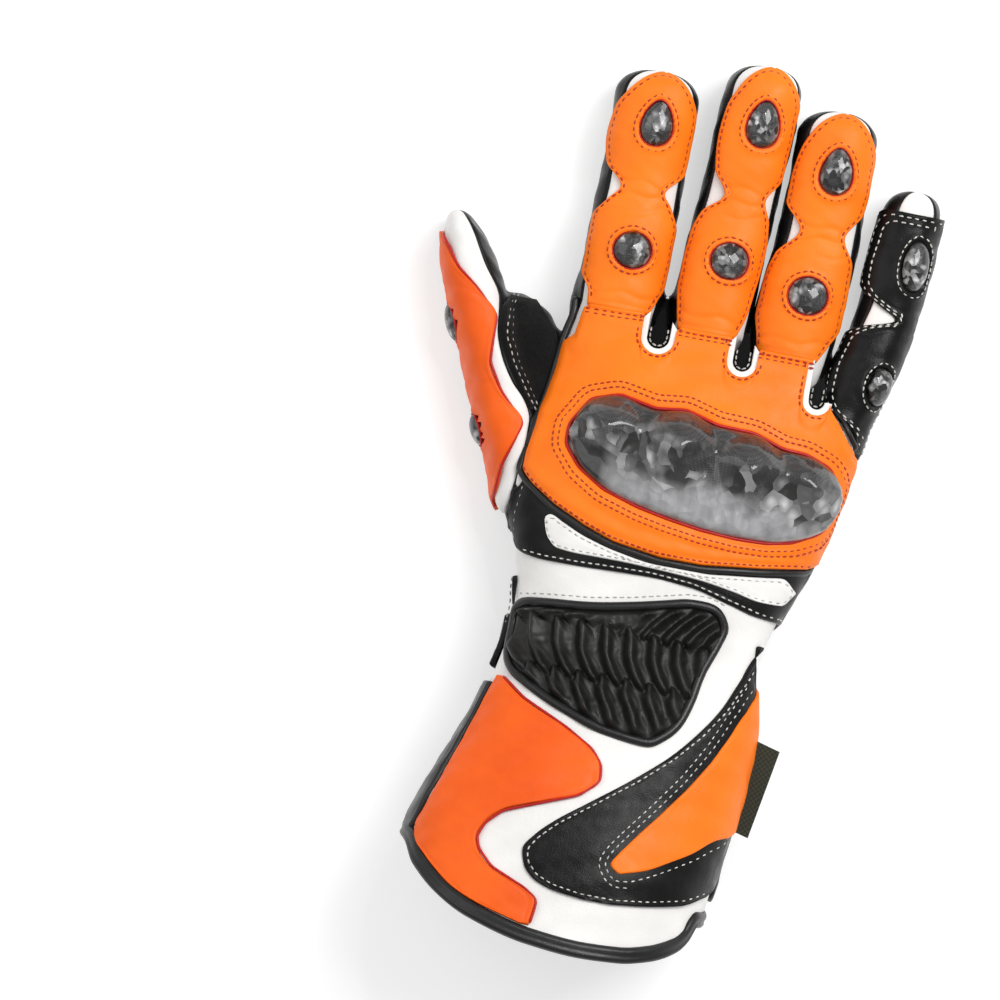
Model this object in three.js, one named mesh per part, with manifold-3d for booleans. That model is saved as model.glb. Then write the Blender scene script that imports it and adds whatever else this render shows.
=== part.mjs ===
import * as THREE from 'three';
import { mergeVertices } from 'three/addons/utils/BufferGeometryUtils.js';
import Module from 'manifold-3d';

// A right-hand gauntlet glove lying palm down, in millimetres.
// +X is the little-finger side, +Y the fingertips, +Z up out of the back of the hand.
const wasm = await Module();
wasm.setup();

// Driving sizes
const WALL = 1.6;            // leather of the shell
const GAP = 0.3;             // clearance between neighbouring pieces
const PANEL = 1.6;           // height of a sewn panel's face over the shell
const LIFT = 1.6;            // the shell's underside stands this high, on the palm's panels
const BINDING_INSIDE = 2.8;  // how far the hem binding reaches into the mouth
const FAR = 200;             // past every face of the glove
const BODY_SIDES = 16;
const FINGER_SIDES = 8;
const ROUND_TOP = 2.3;       // superellipse power of a section's upper half
const ROUND_LOW = 3.2;       // of its lower half, which is flatter
const FINGER_BALL = 10;      // length of a fingertip's rounding
const THUMB_BALL = 8;
const TIP_TURNS = [16, 72];  // degrees round a tip where its sections stand
const TIP_FULLNESS = 0.75;   // power of the cosine that draws them in
const BALL_SIDES = 8;
const BALL_RINGS = 6;
const SHIFT = new THREE.Vector3(-0.52, 0.4, 0); // brings the box's middle over the origin

// Heights where the shell's pieces are sewn together
const PALM_SEAM = 7.6;
const THUMB_SEAM = 8;
const HEM_SEAM = 37;         // between the hem's back and palm lines
const WEB_PALM_LEVEL = 12;   // between the fingers, the palm's edge reaches up to here
const WEB_BACK_LEVEL = 24;   // and the back's edge down to here

// Heights where panels and straps end on the glove's sides
const FINGER_PANEL_LOW = 14;
const PINKY_PANEL_LOW = 12;
const THUMB_PANEL_LOW = 9;
const CROTCH_PATCH_LOW = 10;
const BACK_PANEL_LOW = 20;
const WRIST_BAND_LOW = 22;
const SIDE_BINDING_LOW = 26;
const HEEL_PAD_TOP = 14;
const LOOP_PATCH_TOP = 20;
const STRAP_TOP = 30;
const FLAP_TOP = 34;

// Lines across the glove
const WRIST_SEAM_Y = -20.6;
const THUMB_NEAR_Y = -14;
const THUMB_FAR_Y = 90;
const STRIP_END_Y = -60;     // the strips' sectors end here, past the wrist
const STRIP_LEAN = 0.6;      // how far the sectors draw together there

// Fingertip pieces
const TIP_PIECE_LENGTH = 9;
const TIP_PIECE_HALF = 16;

// Knuckle guard
const GUARD_EDGE = 3.2;      // height of its rim over the shell
const GUARD_LOW = 31;        // its lowest point, at the little-finger end
const BUMP_SUNK = 2;         // how far the bumps' middles lie under the shell's top

// Hand and cuff, a row for each section: y, left, right, low, high
const BODY = [
  [-152, -63, 42, 0.4, 76],
  [-112, -54, 47.3, 3.5, 68.5],
  [-72, -39.3, 51, 8, 56.5],
  [-47, -34, 48.5, 6, 49.5],
  [-33, -35, 51.5, 3, 47],
  [2, -41.4, 62.6, 0.4, 46.2],
  [38, -35, 68, 0.4, 37.5],
  [76, -33, 72, 0.4, 23],
];

// Fingers, a row for each section: y, middle, half width, high; the last row's y is the tip
const FINGER_LOW = 0.4;
const FINGERS = {
  index: [
    [40, -20, 12.2, 28.5], [78, -18.6, 14, 27.5], [102, -18.2, 13.8, 25], [141.2, -18.3, 13.6, 25.5],
  ],
  middle: [
    [38, 12, 11.6, 29], [78, 12.5, 13.2, 28], [105.5, 14.2, 12.8, 25.5], [149.3, 16.4, 12.6, 26],
  ],
  ring: [
    [34, 38, 9.6, 28], [72, 40.9, 14, 27], [99, 42.5, 13.4, 24.8], [138.8, 42.8, 12.8, 25],
  ],
  pinky: [
    [26, 56.5, 8.4, 26], [64, 66.8, 9.6, 24.8], [80, 69, 9.6, 23], [117.6, 71.8, 9.8, 22.5],
  ],
};

// Thumb and the web of leather that joins it to the hand: y, left, right, low, high
const THUMB = [
  [-12, -45.5, -33, 2, 29],
  [5, -50.4, -33, 0.4, 31],
  [22, -58, -37, 0.4, 31.5],
  [47, -69, -50, 0.4, 30],
  [67, -77, -58.7, 0.4, 28],
  [84.4, -81, -70, 0.4, 26],
];
const WEB = [
  [0, -48, -36, 0.4, 25],
  [40, -62, -30, 0.4, 24],
  [54, -62, -38, 0.4, 21],
  [61, -56, -45, 1.5, 16.5],
];

// Where the hand ends between the fingers: x, y at the palm, y at the back
const FINGER_WEBS = [
  [-60, 68, 52], [-4, 68, 50], [24.5, 66, 48], [51, 58, 40], [90, 48, 30],
];

// Line in plan between thumb and hand: y, x
const THUMB_LINE = [
  [-14, -48], [-5, -47.3], [5, -45], [15, -42.6], [25, -40], [47, -37], [90, -35],
];

// Seam between the back and the strips below it: y, z
const BACK_SEAM = [
  [-160, 38], [-119, 36.5], [-60, 30], [-20, 27], [20, 26], [50, 19], [70, 17], [160, 16.5],
];

// Edge of the thumb's white back, seen from above: y, x
const THUMB_BACK_EDGE = [
  [90, -72], [84, -74.5], [79, -70], [69, -64], [58, -57], [47, -55.5], [40, -53], [32, -48],
  [25.5, -42], [20, -40], [-14, -43],
];

// Hem, seen from above: x, inner edge and outer edge of the binding at the back, then at the palm
const HEM_INNER = [1, 3];
const HEM_OUTER = [2, 4];
const HEM = [
  [-80, -117, -120.5, -117, -120.5],
  [-56.5, -117, -120.5, -117, -120.5],
  [-50, -124.5, -130.5, -119.5, -125],
  [-40, -133, -138.5, -122.5, -128],
  [-30, -138.3, -143, -125, -130.5],
  [-10, -143.2, -148.2, -127.8, -133.3],
  [8, -144.8, -149.6, -128.8, -134.3],
  [20, -144.2, -149.2, -129, -134.5],
  [30, -142, -147, -128.3, -133.8],
  [37.5, -138, -143.2, -128, -133.3],
  [41, -133.5, -138.7, -127.8, -133],
  [42.6, -128.5, -133.7, -127.6, -132.8],
  [80, -127.5, -132.7, -127.5, -132.7],
];

// Panels whose sides run along the glove: y, left, right
const INDEX_PANEL = [
  [61.5, -28, -9], [66, -29, -7], [72, -32.6, -4.6], [90, -32.3, -4.6], [97, -28.5, -7],
  [101.5, -25, -10], [109, -31.5, -4.8], [118, -32.5, -4.6], [127, -31, -5.5], [134, -28.5, -8],
  [138.5, -25.5, -12],
];
const MIDDLE_PANEL = [
  [58.7, 3, 20.5], [66, 0.8, 22.7], [74, -0.5, 24.5], [90, 0.2, 26], [98, 2.2, 25.5],
  [105, 9, 23], [113, 3.4, 26.6], [123, 2.2, 27.3], [133, 3.5, 27], [140, 6.5, 25.5], [146, 10.5, 22],
];
const RING_PANEL = [
  [56.2, 30, 48.3], [62, 28.5, 51.5], [69, 26.8, 54.6], [80, 27, 55.2], [89, 29, 54.8],
  [98, 36, 51], [107, 29.3, 55.3], [114, 29, 55.8], [122, 30.5, 55], [129, 33, 53.3], [135.5, 36.5, 49],
];
const PINKY_PANEL = [
  [27, 66.5, 90], [31, 64.5, 90], [37, 61, 90], [42, 56.5, 90], [47, 55.5, 90], [66, 58.5, 90],
  [70, 61.5, 90], [74.5, 72.5, 90], [82, 65.5, 90], [87, 61, 90], [96, 61.5, 90], [110, 63, 90],
];
const HAND_PANEL = [
  [-16.4, 8, 24], [-14, -6, 43], [-10.5, -16, 58], [-5.3, -27, 61.5], [0, -35, 90], [4, -39, 90],
  [15, -38, 90], [27, -35.5, 90], [31, -35, 63.5], [37, -34.3, 60], [41.5, -33.8, 53.5],
  [48, -33, 47.5], [54, -30, 47.5], [60.8, -28, 47.5],
];
const THUMB_PANEL = [
  [-5, -90, -45.5], [4, -90, -46], [19, -90, -42.5], [28, -90, -51], [37, -90, -56.3],
  [52, -90, -57.5], [59.5, -90, -64.5], [66, -90, -72], [76.5, -90, -79],
];
const CUFF_SIDE_PANEL = [
  [-142.3, -13.5, -10.6], [-138, -29.5, -10], [-134, -38.5, -9.6], [-131, -42.5, -14],
  [-126, -48, -26], [-121, -52, -31], [-117, -52.3, -32.4], [-112, -50.7, -30.5], [-107, -49, -25.5],
  [-101.5, -47.1, -12], [-97.5, -45.8, -2], [-92, -44, 3.8], [-87, -42.2, 3.2], [-82.5, -40.8, -0.5],
  [-77, -39, -10], [-70, -36.8, -25.5], [-64, -34.8, -33.5],
];
const CUFF_SIDE_BINDING = [
  [-118.5, -90, -53.5], [-100, -90, -47.2], [-80, -90, -40.6], [-66.5, -90, -36.3],
];
const CUFF_SWOOSH = [
  [-131, 4, 16], [-129.5, -6, 27], [-127, -12, 38], [-123, -15.7, 44.5], [-118, -17, 90],
  [-113, -14, 90], [-107, -8, 90], [-100, 1, 90], [-89, 15, 90], [-80, 25, 90], [-71, 32.7, 90],
  [-62, 38.7, 90], [-52, 43, 90], [-44, 45.5, 90], [-38, 49, 90],
];
const CUFF_BLADE = [
  [-120.8, 14, 16.5], [-118, 12, 24], [-114.5, 13.8, 30], [-110, 17, 37], [-104, 21.5, 44],
  [-99, 25.3, 90], [-88, 33, 90], [-76, 39.7, 90], [-62, 45.7, 90], [-51, 50, 90],
];
const CLOSURE_FLAP = [
  [-124.6, 19, 90], [-121, 11.5, 90], [-115, 7.5, 90], [-104, 6, 90], [-94, 6.7, 90],
  [-86, 10.3, 90], [-78, 17.5, 90], [-70.5, 31.5, 90], [-64.5, 44.5, 90],
];

// Panels whose edges run across the glove: x, lower, upper
const GUARD = [
  [-26.5, 14.5, 21], [-21, 7.8, 30.5], [-12, 2.3, 33.5], [0, -1.4, 31], [10, -3.4, 32.4],
  [21, -5, 29.3], [33, -5.8, 29], [43, -5.4, 25.6], [51, -3.6, 25.3], [59, 1, 22.3], [63.5, 8, 15.5],
];
const WRIST_BAND = [
  [-90, -17, -2], [-39.5, -17, -2], [-37.5, -20.5, 1.5], [-33, -23.3, -2.5], [-27, -24, -6.4],
  [-16, -24, -11.6], [-5, -23.6, -15.2], [8, -23.3, -17.6], [22, -24.3, -17.6], [35, -27.5, -16],
  [45, -30, -14.6], [58, -31, -11.8], [90, -31, -9],
];
const WRIST_BAND_INSET = [
  [-28.6, -12, -8.4], [-26.5, -16.5, -8.8], [-23, -19.4, -10.6], [-15, -20, -14], [-4, -20, -17],
  [10, -20.5, -18.9], [24, -21.4, -18.9], [35, -23, -17.8], [45, -24.8, -16.5], [51, -24.6, -15.6],
  [54.6, -20.5, -18],
];
const RIBBED_PANEL = [
  [-34.5, -56, -40], [-33, -60.5, -37.7], [-25, -66.3, -36.4], [-10, -73, -34.9], [3, -77, -32.5],
  [17, -78.4, -29.2], [21, -76, -28.2], [25.5, -71, -27.9], [28.5, -62, -28], [30, -53, -28.3],
  [33, -45.5, -29.3], [36.5, -38, -31.8],
];
const WRIST_STRAP = [
  [-90, -62, -43.5], [-20, -63.5, -44.2], [31, -65.5, -46], [37, -63, -48.5], [40, -58, -53.5],
];
const LOOP_PATCH = [[20.5, -64.5, -39.5], [46, -62.5, -38.5]];

// Suede reinforcement on the palm, with a lobe up the index and middle fingers: x, y
const PALM_PATCH = [
  [-24, 21], [-18, 18], [-13, 25], [-11, 35], [-8, 42.5], [-4, 40], [2, 33], [9.7, 26], [30, 35],
  [46, 43], [50.5, 47], [46, 51], [30, 55.5], [14.6, 60], [17, 76], [15.5, 83.5], [11.7, 86.3],
  [7, 83], [4, 72], [0, 62.5], [-5, 61], [-9, 66], [-12, 80], [-15, 85.5], [-19, 87], [-24, 84],
  [-27.3, 76], [-26.8, 40],
];
const HEEL_PAD = [
  [55, 16], [23.5, 4.6], [4, 0], [-4.6, -6.5], [-7.7, -17], [-6.5, -28.3], [2.4, -34.5], [25.4, -36],
  [49, -34], [90, -31], [90, 16],
];
const CROTCH_PATCH = [
  [-40.6, 24], [-46, 31], [-51, 38], [-55, 45], [-56.5, 53], [-54, 60], [-50, 63], [-37.6, 63],
  [-37.6, 46],
];
const SIDE_LABEL = [[44, -67.5], [60.5, -72], [55.3, -101.8], [41, -98]];
const SIDE_LABEL_LOW = 35;
const SIDE_LABEL_THICK = 1;

// Gaps between the fingers, seen from above: x, y of the round bottom, half width of the orange edge
const SLOTS = [[-3.5, 49, 5.6], [25, 46.6, 5], [51.2, 38.8, 4.6]];
const SLOT_STEPS = 4;
const SLOT_END_Y = 90;

// Knuckle bumps: x, y, half width, half length, height over the shell
const BUMPS = [
  [-13.5, 18, 11.5, 15, 8], [10, 16, 12.5, 17, 10], [33, 13, 12, 17, 10], [52.5, 12, 10.5, 14, 8],
];

// Domes on the fingers: x, y, half width, half length, height over the shell
const FINGER_DOMES = {
  index_dome_tip: ['index', -16.8, 124, 4.9, 7.5, 3.6],
  index_dome_mid: ['index', -17.2, 81.3, 6, 6, 3.6],
  middle_dome_tip: ['middle', 17.2, 130, 5, 7.8, 3.6],
  middle_dome_mid: ['middle', 14.6, 83.5, 6, 6, 3.6],
  ring_dome_tip: ['ring', 43.8, 119, 5, 7.8, 3.6],
  ring_dome_mid: ['ring', 42.3, 77, 6.2, 6.2, 3.6],
  pinky_dome_tip: ['pinky', 74.3, 93, 4.2, 8.4, 4.4],
  pinky_dome_base: ['pinky', 71, 52, 4.3, 6.4, 4.4],
};
// Domes on the thumb's outer side: x, y, z, half depth, half length, half height
const THUMB_DOMES = {
  thumb_dome_tip: [-69, 48, 19, 4.2, 6.6, 6.2],
  thumb_dome_base: [-54.8, 15, 20, 4.2, 5.4, 5.4],
};
const DOME_SEAT = 0.45;      // clearance of a dome in its panel
const DOME_SUNK = 1;

// Ribs of the padded wrist panel: how far each line across them leans in x, from the cuff up
const RIBS = 9;
const RIB_LEAN = [0, -2.5, 3, -2.5];
const RIB_HIGH = 4.2;
const RIB_VALLEY = 2;
const RIB_CLEAR = 0.8;

// Materials
const LOOKS = {
  black_leather: { color: 0x1c1c1e, roughness: 0.5, metalness: 0 },
  white_leather: { color: 0xf0efec, roughness: 0.5, metalness: 0 },
  orange_leather: { color: 0xff7d22, roughness: 0.5, metalness: 0 },
  suede: { color: 0x141414, roughness: 0.95, metalness: 0 },
  webbing: { color: 0x222222, roughness: 0.9, metalness: 0 },
  clear_plastic: { color: 0x6f7072, roughness: 0.12, metalness: 0 },
};

// Solids from three.js geometry, and back
function solid(geometry) {
  geometry.deleteAttribute('normal');
  geometry.deleteAttribute('uv');
  const merged = mergeVertices(geometry, 1e-5);
  return new wasm.Manifold(new wasm.Mesh({
    numProp: 3,
    vertProperties: new Float32Array(merged.attributes.position.array),
    triVerts: new Uint32Array(merged.index.array),
  }));
}

// The largest body of a solid, without the crumbs that a cut can leave
function largestBody(mesh) {
  const root = Array.from({ length: mesh.vertProperties.length / 3 }, (_, i) => i);
  const find = (i) => {
    while (root[i] !== i) {
      root[i] = root[root[i]];
      i = root[i];
    }
    return i;
  };
  for (let i = 0; i < mesh.triVerts.length; i += 3) {
    root[find(mesh.triVerts[i])] = find(mesh.triVerts[i + 1]);
    root[find(mesh.triVerts[i + 1])] = find(mesh.triVerts[i + 2]);
  }
  const triangles = new Map();
  for (let i = 0; i < mesh.triVerts.length; i += 3) {
    const body = find(mesh.triVerts[i]);
    if (!triangles.has(body)) triangles.set(body, []);
    triangles.get(body).push(...mesh.triVerts.slice(i, i + 3));
  }
  return [...triangles.values()].reduce((a, b) => (b.length > a.length ? b : a));
}

function geometryOf(piece) {
  const mesh = piece.getMesh();
  const geometry = new THREE.BufferGeometry();
  geometry.setAttribute('position', new THREE.BufferAttribute(mesh.vertProperties.slice(), 3));
  geometry.setIndex(largestBody(mesh));
  return geometry.toNonIndexed();
}

// Upright prism over a plan outline
function prism(points, low = -FAR, high = FAR) {
  const shape = new THREE.Shape(points.map(([x, y]) => new THREE.Vector2(x, y)));
  const extruded = new THREE.ExtrudeGeometry(shape, { depth: high - low, bevelEnabled: false });
  extruded.translate(0, 0, low);
  return solid(extruded);
}

// Prism across the glove over an outline of y, z points
function crossPrism(points) {
  const shape = new THREE.Shape(points.map(([y, z]) => new THREE.Vector2(y, z)));
  const extruded = new THREE.ExtrudeGeometry(shape, { depth: 2 * FAR, bevelEnabled: false });
  extruded.translate(0, 0, -FAR);
  extruded.applyMatrix4(new THREE.Matrix4().makeBasis(
    new THREE.Vector3(0, 1, 0), new THREE.Vector3(0, 0, 1), new THREE.Vector3(1, 0, 0),
  ));
  return solid(extruded);
}

// Outlines from tables: rows of y, left, right, and columns of x, lower, upper
const rowsOutline = (rows, grow = 0) => [
  ...rows.map(([y, left], i) => [left - grow, y + endShift(rows, i, grow)]),
  ...rows.map(([y, , right], i) => [right + grow, y + endShift(rows, i, grow)]).reverse(),
];
const columnsOutline = (rows, grow = 0) => [
  ...rows.map(([x, low], i) => [x + endShift(rows, i, grow), low - grow]),
  ...rows.map(([x, , high], i) => [x + endShift(rows, i, grow), high + grow]).reverse(),
];
function endShift(rows, i, grow) {
  if (i === 0) return -grow;
  return i === rows.length - 1 ? grow : 0;
}
const block = (left, right, near, far, low = -FAR, high = FAR) => prism(
  [[left, near], [right, near], [right, far], [left, far]], low, high,
);

// Superellipse point of a section at a unit direction: x, z
function sectionPoint([left, right, low, high], across, up, reach) {
  const power = 2 / (up > 0 ? ROUND_TOP : ROUND_LOW);
  const bend = (v) => Math.sign(v) * Math.abs(v) ** power;
  const x = (left + right) / 2 + reach * ((right - left) / 2) * bend(across);
  const z = (low + high) / 2 + reach * ((high - low) / 2) * bend(up);
  return [x, z];
}

// Tube through sections of y, left, right, low, high, grown by an offset
function tube(rows, sides, grow) {
  const shape = new THREE.CylinderGeometry(1, 1, 1, sides, rows.length - 1);
  const at = shape.attributes.position;
  for (let i = 0; i < at.count; i += 1) {
    const [y, left, right, low, high] = rows[Math.round((at.getY(i) + 0.5) * (rows.length - 1))];
    const reach = Math.hypot(at.getX(i), at.getZ(i));
    const section = [left - grow, right + grow, low - grow, high + grow];
    const across = reach > 0.5 ? at.getX(i) : 0;
    const up = reach > 0.5 ? at.getZ(i) : 0;
    const [x, z] = sectionPoint(section, across, up, reach > 0.5 ? 1 : 0);
    at.setXYZ(i, x, y, z);
  }
  return solid(shape);
}

// Rows with the last one drawn in to a round tip
function withTip(rows, ball, grow) {
  const [tipY, left, right, low, high] = rows[rows.length - 1];
  const [midX, midZ] = [(left + right) / 2, (low + high) / 2];
  const round = TIP_TURNS.map((degrees) => {
    const turn = THREE.MathUtils.degToRad(degrees);
    const keep = Math.cos(turn) ** TIP_FULLNESS;
    const y = tipY - ball + (ball + grow) * Math.sin(turn);
    const halfX = ((right - left) / 2 + grow) * keep - grow;
    const halfZ = ((high - low) / 2 + grow) * keep - grow;
    return [y, midX - halfX, midX + halfX, midZ - halfZ, midZ + halfZ];
  });
  return [...rows.slice(0, -1), ...round];
}

const fingerRows = (name) => FINGERS[name].map(
  ([y, mid, half, high]) => [y, mid - half, mid + half, FINGER_LOW, high],
);

// Body of the hand and cuff, cut off between the fingers
function handBody(grow) {
  const palmEdge = FINGER_WEBS.map(([x, palm]) => [x, palm + grow]);
  const backEdge = FINGER_WEBS.map(([x, , back]) => [x, back + grow]);
  const slope = [
    [-FAR, palmEdge], [WEB_PALM_LEVEL, palmEdge], [WEB_BACK_LEVEL, backEdge], [FAR, backEdge],
  ];
  return tube(BODY, BODY_SIDES, grow).intersect(slopedBlock(slope));
}

// Block whose far side follows an edge that changes with height: z, edge of x, y points
function slopedBlock(layers) {
  const sides = layers[0][1].length + 2;
  const shape = new THREE.CylinderGeometry(1, 1, 1, sides, layers.length - 1);
  shape.rotateX(Math.PI / 2);
  const at = shape.attributes.position;
  for (let i = 0; i < at.count; i += 1) {
    const [z, edge] = layers[Math.round((at.getZ(i) + 0.5) * (layers.length - 1))];
    const outline = [[FAR, -FAR], ...[...edge].reverse(), [-FAR, -FAR]];
    const reach = Math.hypot(at.getX(i), at.getY(i));
    const turn = Math.atan2(at.getX(i), -at.getY(i)) / (2 * Math.PI);
    const corner = Math.round(turn * sides + sides) % sides;
    const [x, y] = reach > 0.5 ? outline[corner] : [0, -FAR / 2];
    at.setXYZ(i, x, y, z);
  }
  return solid(shape);
}

// The whole outer form, grown by an offset, flattened where it rests
function form(grow) {
  let whole = handBody(grow);
  for (const name of Object.keys(FINGERS)) {
    whole = whole.add(tube(withTip(fingerRows(name), FINGER_BALL, grow), FINGER_SIDES, grow));
  }
  whole = whole.add(tube(withTip(THUMB, THUMB_BALL, grow), FINGER_SIDES, grow));
  whole = whole.add(tube(WEB, FINGER_SIDES, grow));
  return whole.intersect(block(-FAR, FAR, -FAR, FAR, LIFT - grow, FAR));
}

const outer = form(0);
const inner = form(-WALL);
const panelFace = form(PANEL);
const panelBack = form(GAP);
const leather = outer.subtract(inner);
const panelSkin = panelFace.subtract(panelBack);

// Regions that the shell's pieces are cut from
const thumbRegion = (grow) => prism([
  ...THUMB_LINE.map(([y, x]) => [x + grow, y]), [-FAR, THUMB_FAR_Y], [-FAR, THUMB_NEAR_Y - grow],
]);
const aboveSeam = (grow) => crossPrism([
  ...BACK_SEAM.map(([y, z]) => [y, z - grow]), [160, FAR], [-160, FAR],
]);
const handRegion = leather.subtract(thumbRegion(GAP)).intersect(block(-FAR, FAR, WRIST_SEAM_Y, FAR));
const cuffRegion = leather
  .intersect(block(-FAR, FAR, -FAR, WRIST_SEAM_Y - GAP))
  .intersect(hemCut(HEM_INNER, GAP));

// Everything above a hem line: one edge at the back of the cuff, one at its palm
function hemCut([back, palm], grow) {
  const edge = (column) => [...HEM.map((row) => [row[0], row[column] + grow]), [FAR, FAR], [-FAR, FAR]];
  return prism(edge(back), HEM_SEAM).add(prism(edge(palm), -FAR, HEM_SEAM));
}

// Shell of the hand
function backLeather() {
  return handRegion.intersect(aboveSeam(0));
}

const fingerOrder = ['index', 'middle', 'ring', 'pinky'];
const tipOf = (name) => FINGERS[name][FINGERS[name].length - 1][0];

function fingertips(grow) {
  return fingerOrder
    .map((name) => {
      const [tipY, mid] = FINGERS[name][FINGERS[name].length - 1];
      return block(mid - TIP_PIECE_HALF, mid + TIP_PIECE_HALF, tipY - TIP_PIECE_LENGTH - grow, FAR);
    })
    .reduce((all, tip) => all.add(tip));
}

function palmLeather() {
  const low = block(-FAR, FAR, -FAR, FAR, -FAR, PALM_SEAM).add(fingertips(0));
  return handRegion.intersect(low).subtract(aboveSeam(GAP));
}

// Strip between palm and back, in the sector from one finger's middle line to the next
function sideStrip(from, to) {
  const midLine = (name) => {
    const rows = FINGERS[name];
    const [[baseY, base], [tipY, tip]] = [rows[0], rows[rows.length - 1]];
    return [[base * STRIP_LEAN, STRIP_END_Y], [base, baseY], [tip, tipY], [tip, FAR]];
  };
  const beside = (x) => [[x, STRIP_END_Y], [x, FAR]];
  const leftEdge = from ? midLine(from).map(([x, y]) => [x + GAP / 2, y]) : beside(-FAR);
  const rightEdge = to ? midLine(to).map(([x, y]) => [x - GAP / 2, y]) : beside(FAR);
  const sector = prism([...leftEdge, ...rightEdge.reverse()], PALM_SEAM + GAP);
  return handRegion.intersect(sector).subtract(aboveSeam(GAP)).subtract(fingertips(GAP));
}

// Shell of the thumb: its back is what lies outside the white edge and above the seam
const thumbBackRegion = (grow) => prism([
  ...THUMB_BACK_EDGE.map(([y, x]) => [x + grow, y]), [-FAR, THUMB_NEAR_Y], [-FAR, THUMB_FAR_Y],
].reverse(), THUMB_SEAM - grow);

function thumbBack() {
  return leather.intersect(thumbRegion(0)).intersect(thumbBackRegion(0));
}

function thumbPalm() {
  return leather.intersect(thumbRegion(0)).subtract(thumbBackRegion(GAP));
}

// Shell of the cuff
function cuffBack() {
  return cuffRegion.intersect(aboveSeam(0));
}

function cuffPalm() {
  return cuffRegion.subtract(aboveSeam(GAP));
}

function hemBinding() {
  const roll = panelFace.subtract(form(-BINDING_INSIDE));
  return roll.intersect(hemCut(HEM_OUTER, 0)).subtract(hemCut(HEM_INNER, 0));
}

// Panels on the shell
const ellipseOutline = (x, y, halfWidth, halfLength) => Array.from({ length: BALL_SIDES }, (_, i) => {
  const turn = (2 * Math.PI * i) / BALL_SIDES;
  return [x + halfWidth * Math.cos(turn), y + halfLength * Math.sin(turn)];
});

function withDomeHoles(panel, finger) {
  let cut = panel;
  for (const [on, x, y, halfWidth, halfLength] of Object.values(FINGER_DOMES)) {
    if (on === finger) {
      cut = cut.subtract(prism(ellipseOutline(x, y, halfWidth + DOME_SEAT, halfLength + DOME_SEAT)));
    }
  }
  return cut;
}

const onBack = (outline, low) => panelSkin.intersect(prism(outline, low));
const onPalm = (outline, high) => panelSkin.intersect(prism(outline, -FAR, high));

function fingerPanel(rows, finger, low) {
  return withDomeHoles(onBack(rowsOutline(rows), low), finger);
}

function slotOutline([x, y, halfWidth]) {
  const bottom = Array.from({ length: SLOT_STEPS + 1 }, (_, i) => {
    const turn = Math.PI + (Math.PI * i) / SLOT_STEPS;
    return [x + halfWidth * Math.cos(turn), y + halfWidth + halfWidth * Math.sin(turn)];
  });
  return [...bottom, [x + halfWidth, SLOT_END_Y], [x - halfWidth, SLOT_END_Y]];
}

function handPanel() {
  let panel = onBack(rowsOutline(HAND_PANEL), BACK_PANEL_LOW).subtract(prism(columnsOutline(GUARD, GAP)));
  for (const slot of SLOTS) panel = panel.subtract(prism(slotOutline(slot)));
  for (const rows of [INDEX_PANEL, MIDDLE_PANEL, RING_PANEL, PINKY_PANEL]) {
    panel = panel.subtract(prism(rowsOutline(rows, GAP)));
  }
  return panel.subtract(thumbRegion(GAP));
}

function thumbPanel() {
  let panel = onBack(rowsOutline(THUMB_PANEL), THUMB_PANEL_LOW).intersect(thumbRegion(0));
  for (const [x, y, z, depth, length, height] of Object.values(THUMB_DOMES)) {
    panel = panel.subtract(ball(x, y, z, depth + DOME_SEAT, length + DOME_SEAT, height + DOME_SEAT));
  }
  return panel;
}

function crotchPatch() {
  const patch = onBack(CROTCH_PATCH, CROTCH_PATCH_LOW).intersect(thumbRegion(0));
  return patch.subtract(prism(rowsOutline(THUMB_PANEL, GAP)));
}

function wristBand() {
  const window = prism(columnsOutline(WRIST_BAND_INSET, GAP));
  const band = onBack(columnsOutline(WRIST_BAND), WRIST_BAND_LOW).subtract(window);
  return band.subtract(thumbRegion(GAP)).subtract(prism(rowsOutline(HAND_PANEL, GAP)));
}

function wristBandInset() {
  return onBack(columnsOutline(WRIST_BAND_INSET), BACK_PANEL_LOW);
}

// Padded panel, folded into ribs: every other line of the slab's grid is a crest, and its lines
// lean to and fro from row to row
function ribbedPanel() {
  const slab = new THREE.BoxGeometry(1, 1, 1, 2 * RIBS, RIB_LEAN.length - 1, 1);
  const at = slab.attributes.position;
  for (let i = 0; i < at.count; i += 1) {
    const [along, up] = [at.getX(i) + 0.5, at.getY(i) + 0.5];
    const row = Math.round(up * (RIB_LEAN.length - 1));
    const left = RIBBED_PANEL[0][0];
    const wide = RIBBED_PANEL[RIBBED_PANEL.length - 1][0] - left;
    const x = left + wide * along + RIB_LEAN[row] * Math.sin(Math.PI * along);
    const [low, high] = columnAt(RIBBED_PANEL, x);
    const y = low + (high - low) * up;
    const onEdge = along < 0.01 || along > 0.99 || up < 0.01 || up > 0.99;
    const crest = !onEdge && Math.round(along * 2 * RIBS) % 2 === 1 ? RIB_HIGH : RIB_VALLEY;
    at.setXYZ(i, x, y, topOver(BODY, x, y) + (at.getZ(i) > 0 ? crest : RIB_CLEAR));
  }
  return solid(slab);
}

// Lower and upper edge of a table of columns at x
function columnAt(rows, x) {
  const after = Math.max(1, rows.findIndex((row) => row[0] >= x - 1e-6));
  const [from, to] = [rows[after - 1], rows[after]];
  const part = (x - from[0]) / (to[0] - from[0]);
  return [1, 2].map((k) => from[k] + (to[k] - from[k]) * part);
}

function cuffSidePanel() {
  const panel = onBack(rowsOutline(CUFF_SIDE_PANEL), BACK_PANEL_LOW).intersect(hemCut(HEM_INNER, GAP));
  return panel.subtract(prism(columnsOutline(RIBBED_PANEL, GAP)));
}

function cuffSideBinding() {
  return onBack(rowsOutline(CUFF_SIDE_BINDING), SIDE_BINDING_LOW).intersect(hemCut(HEM_INNER, GAP));
}

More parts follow.
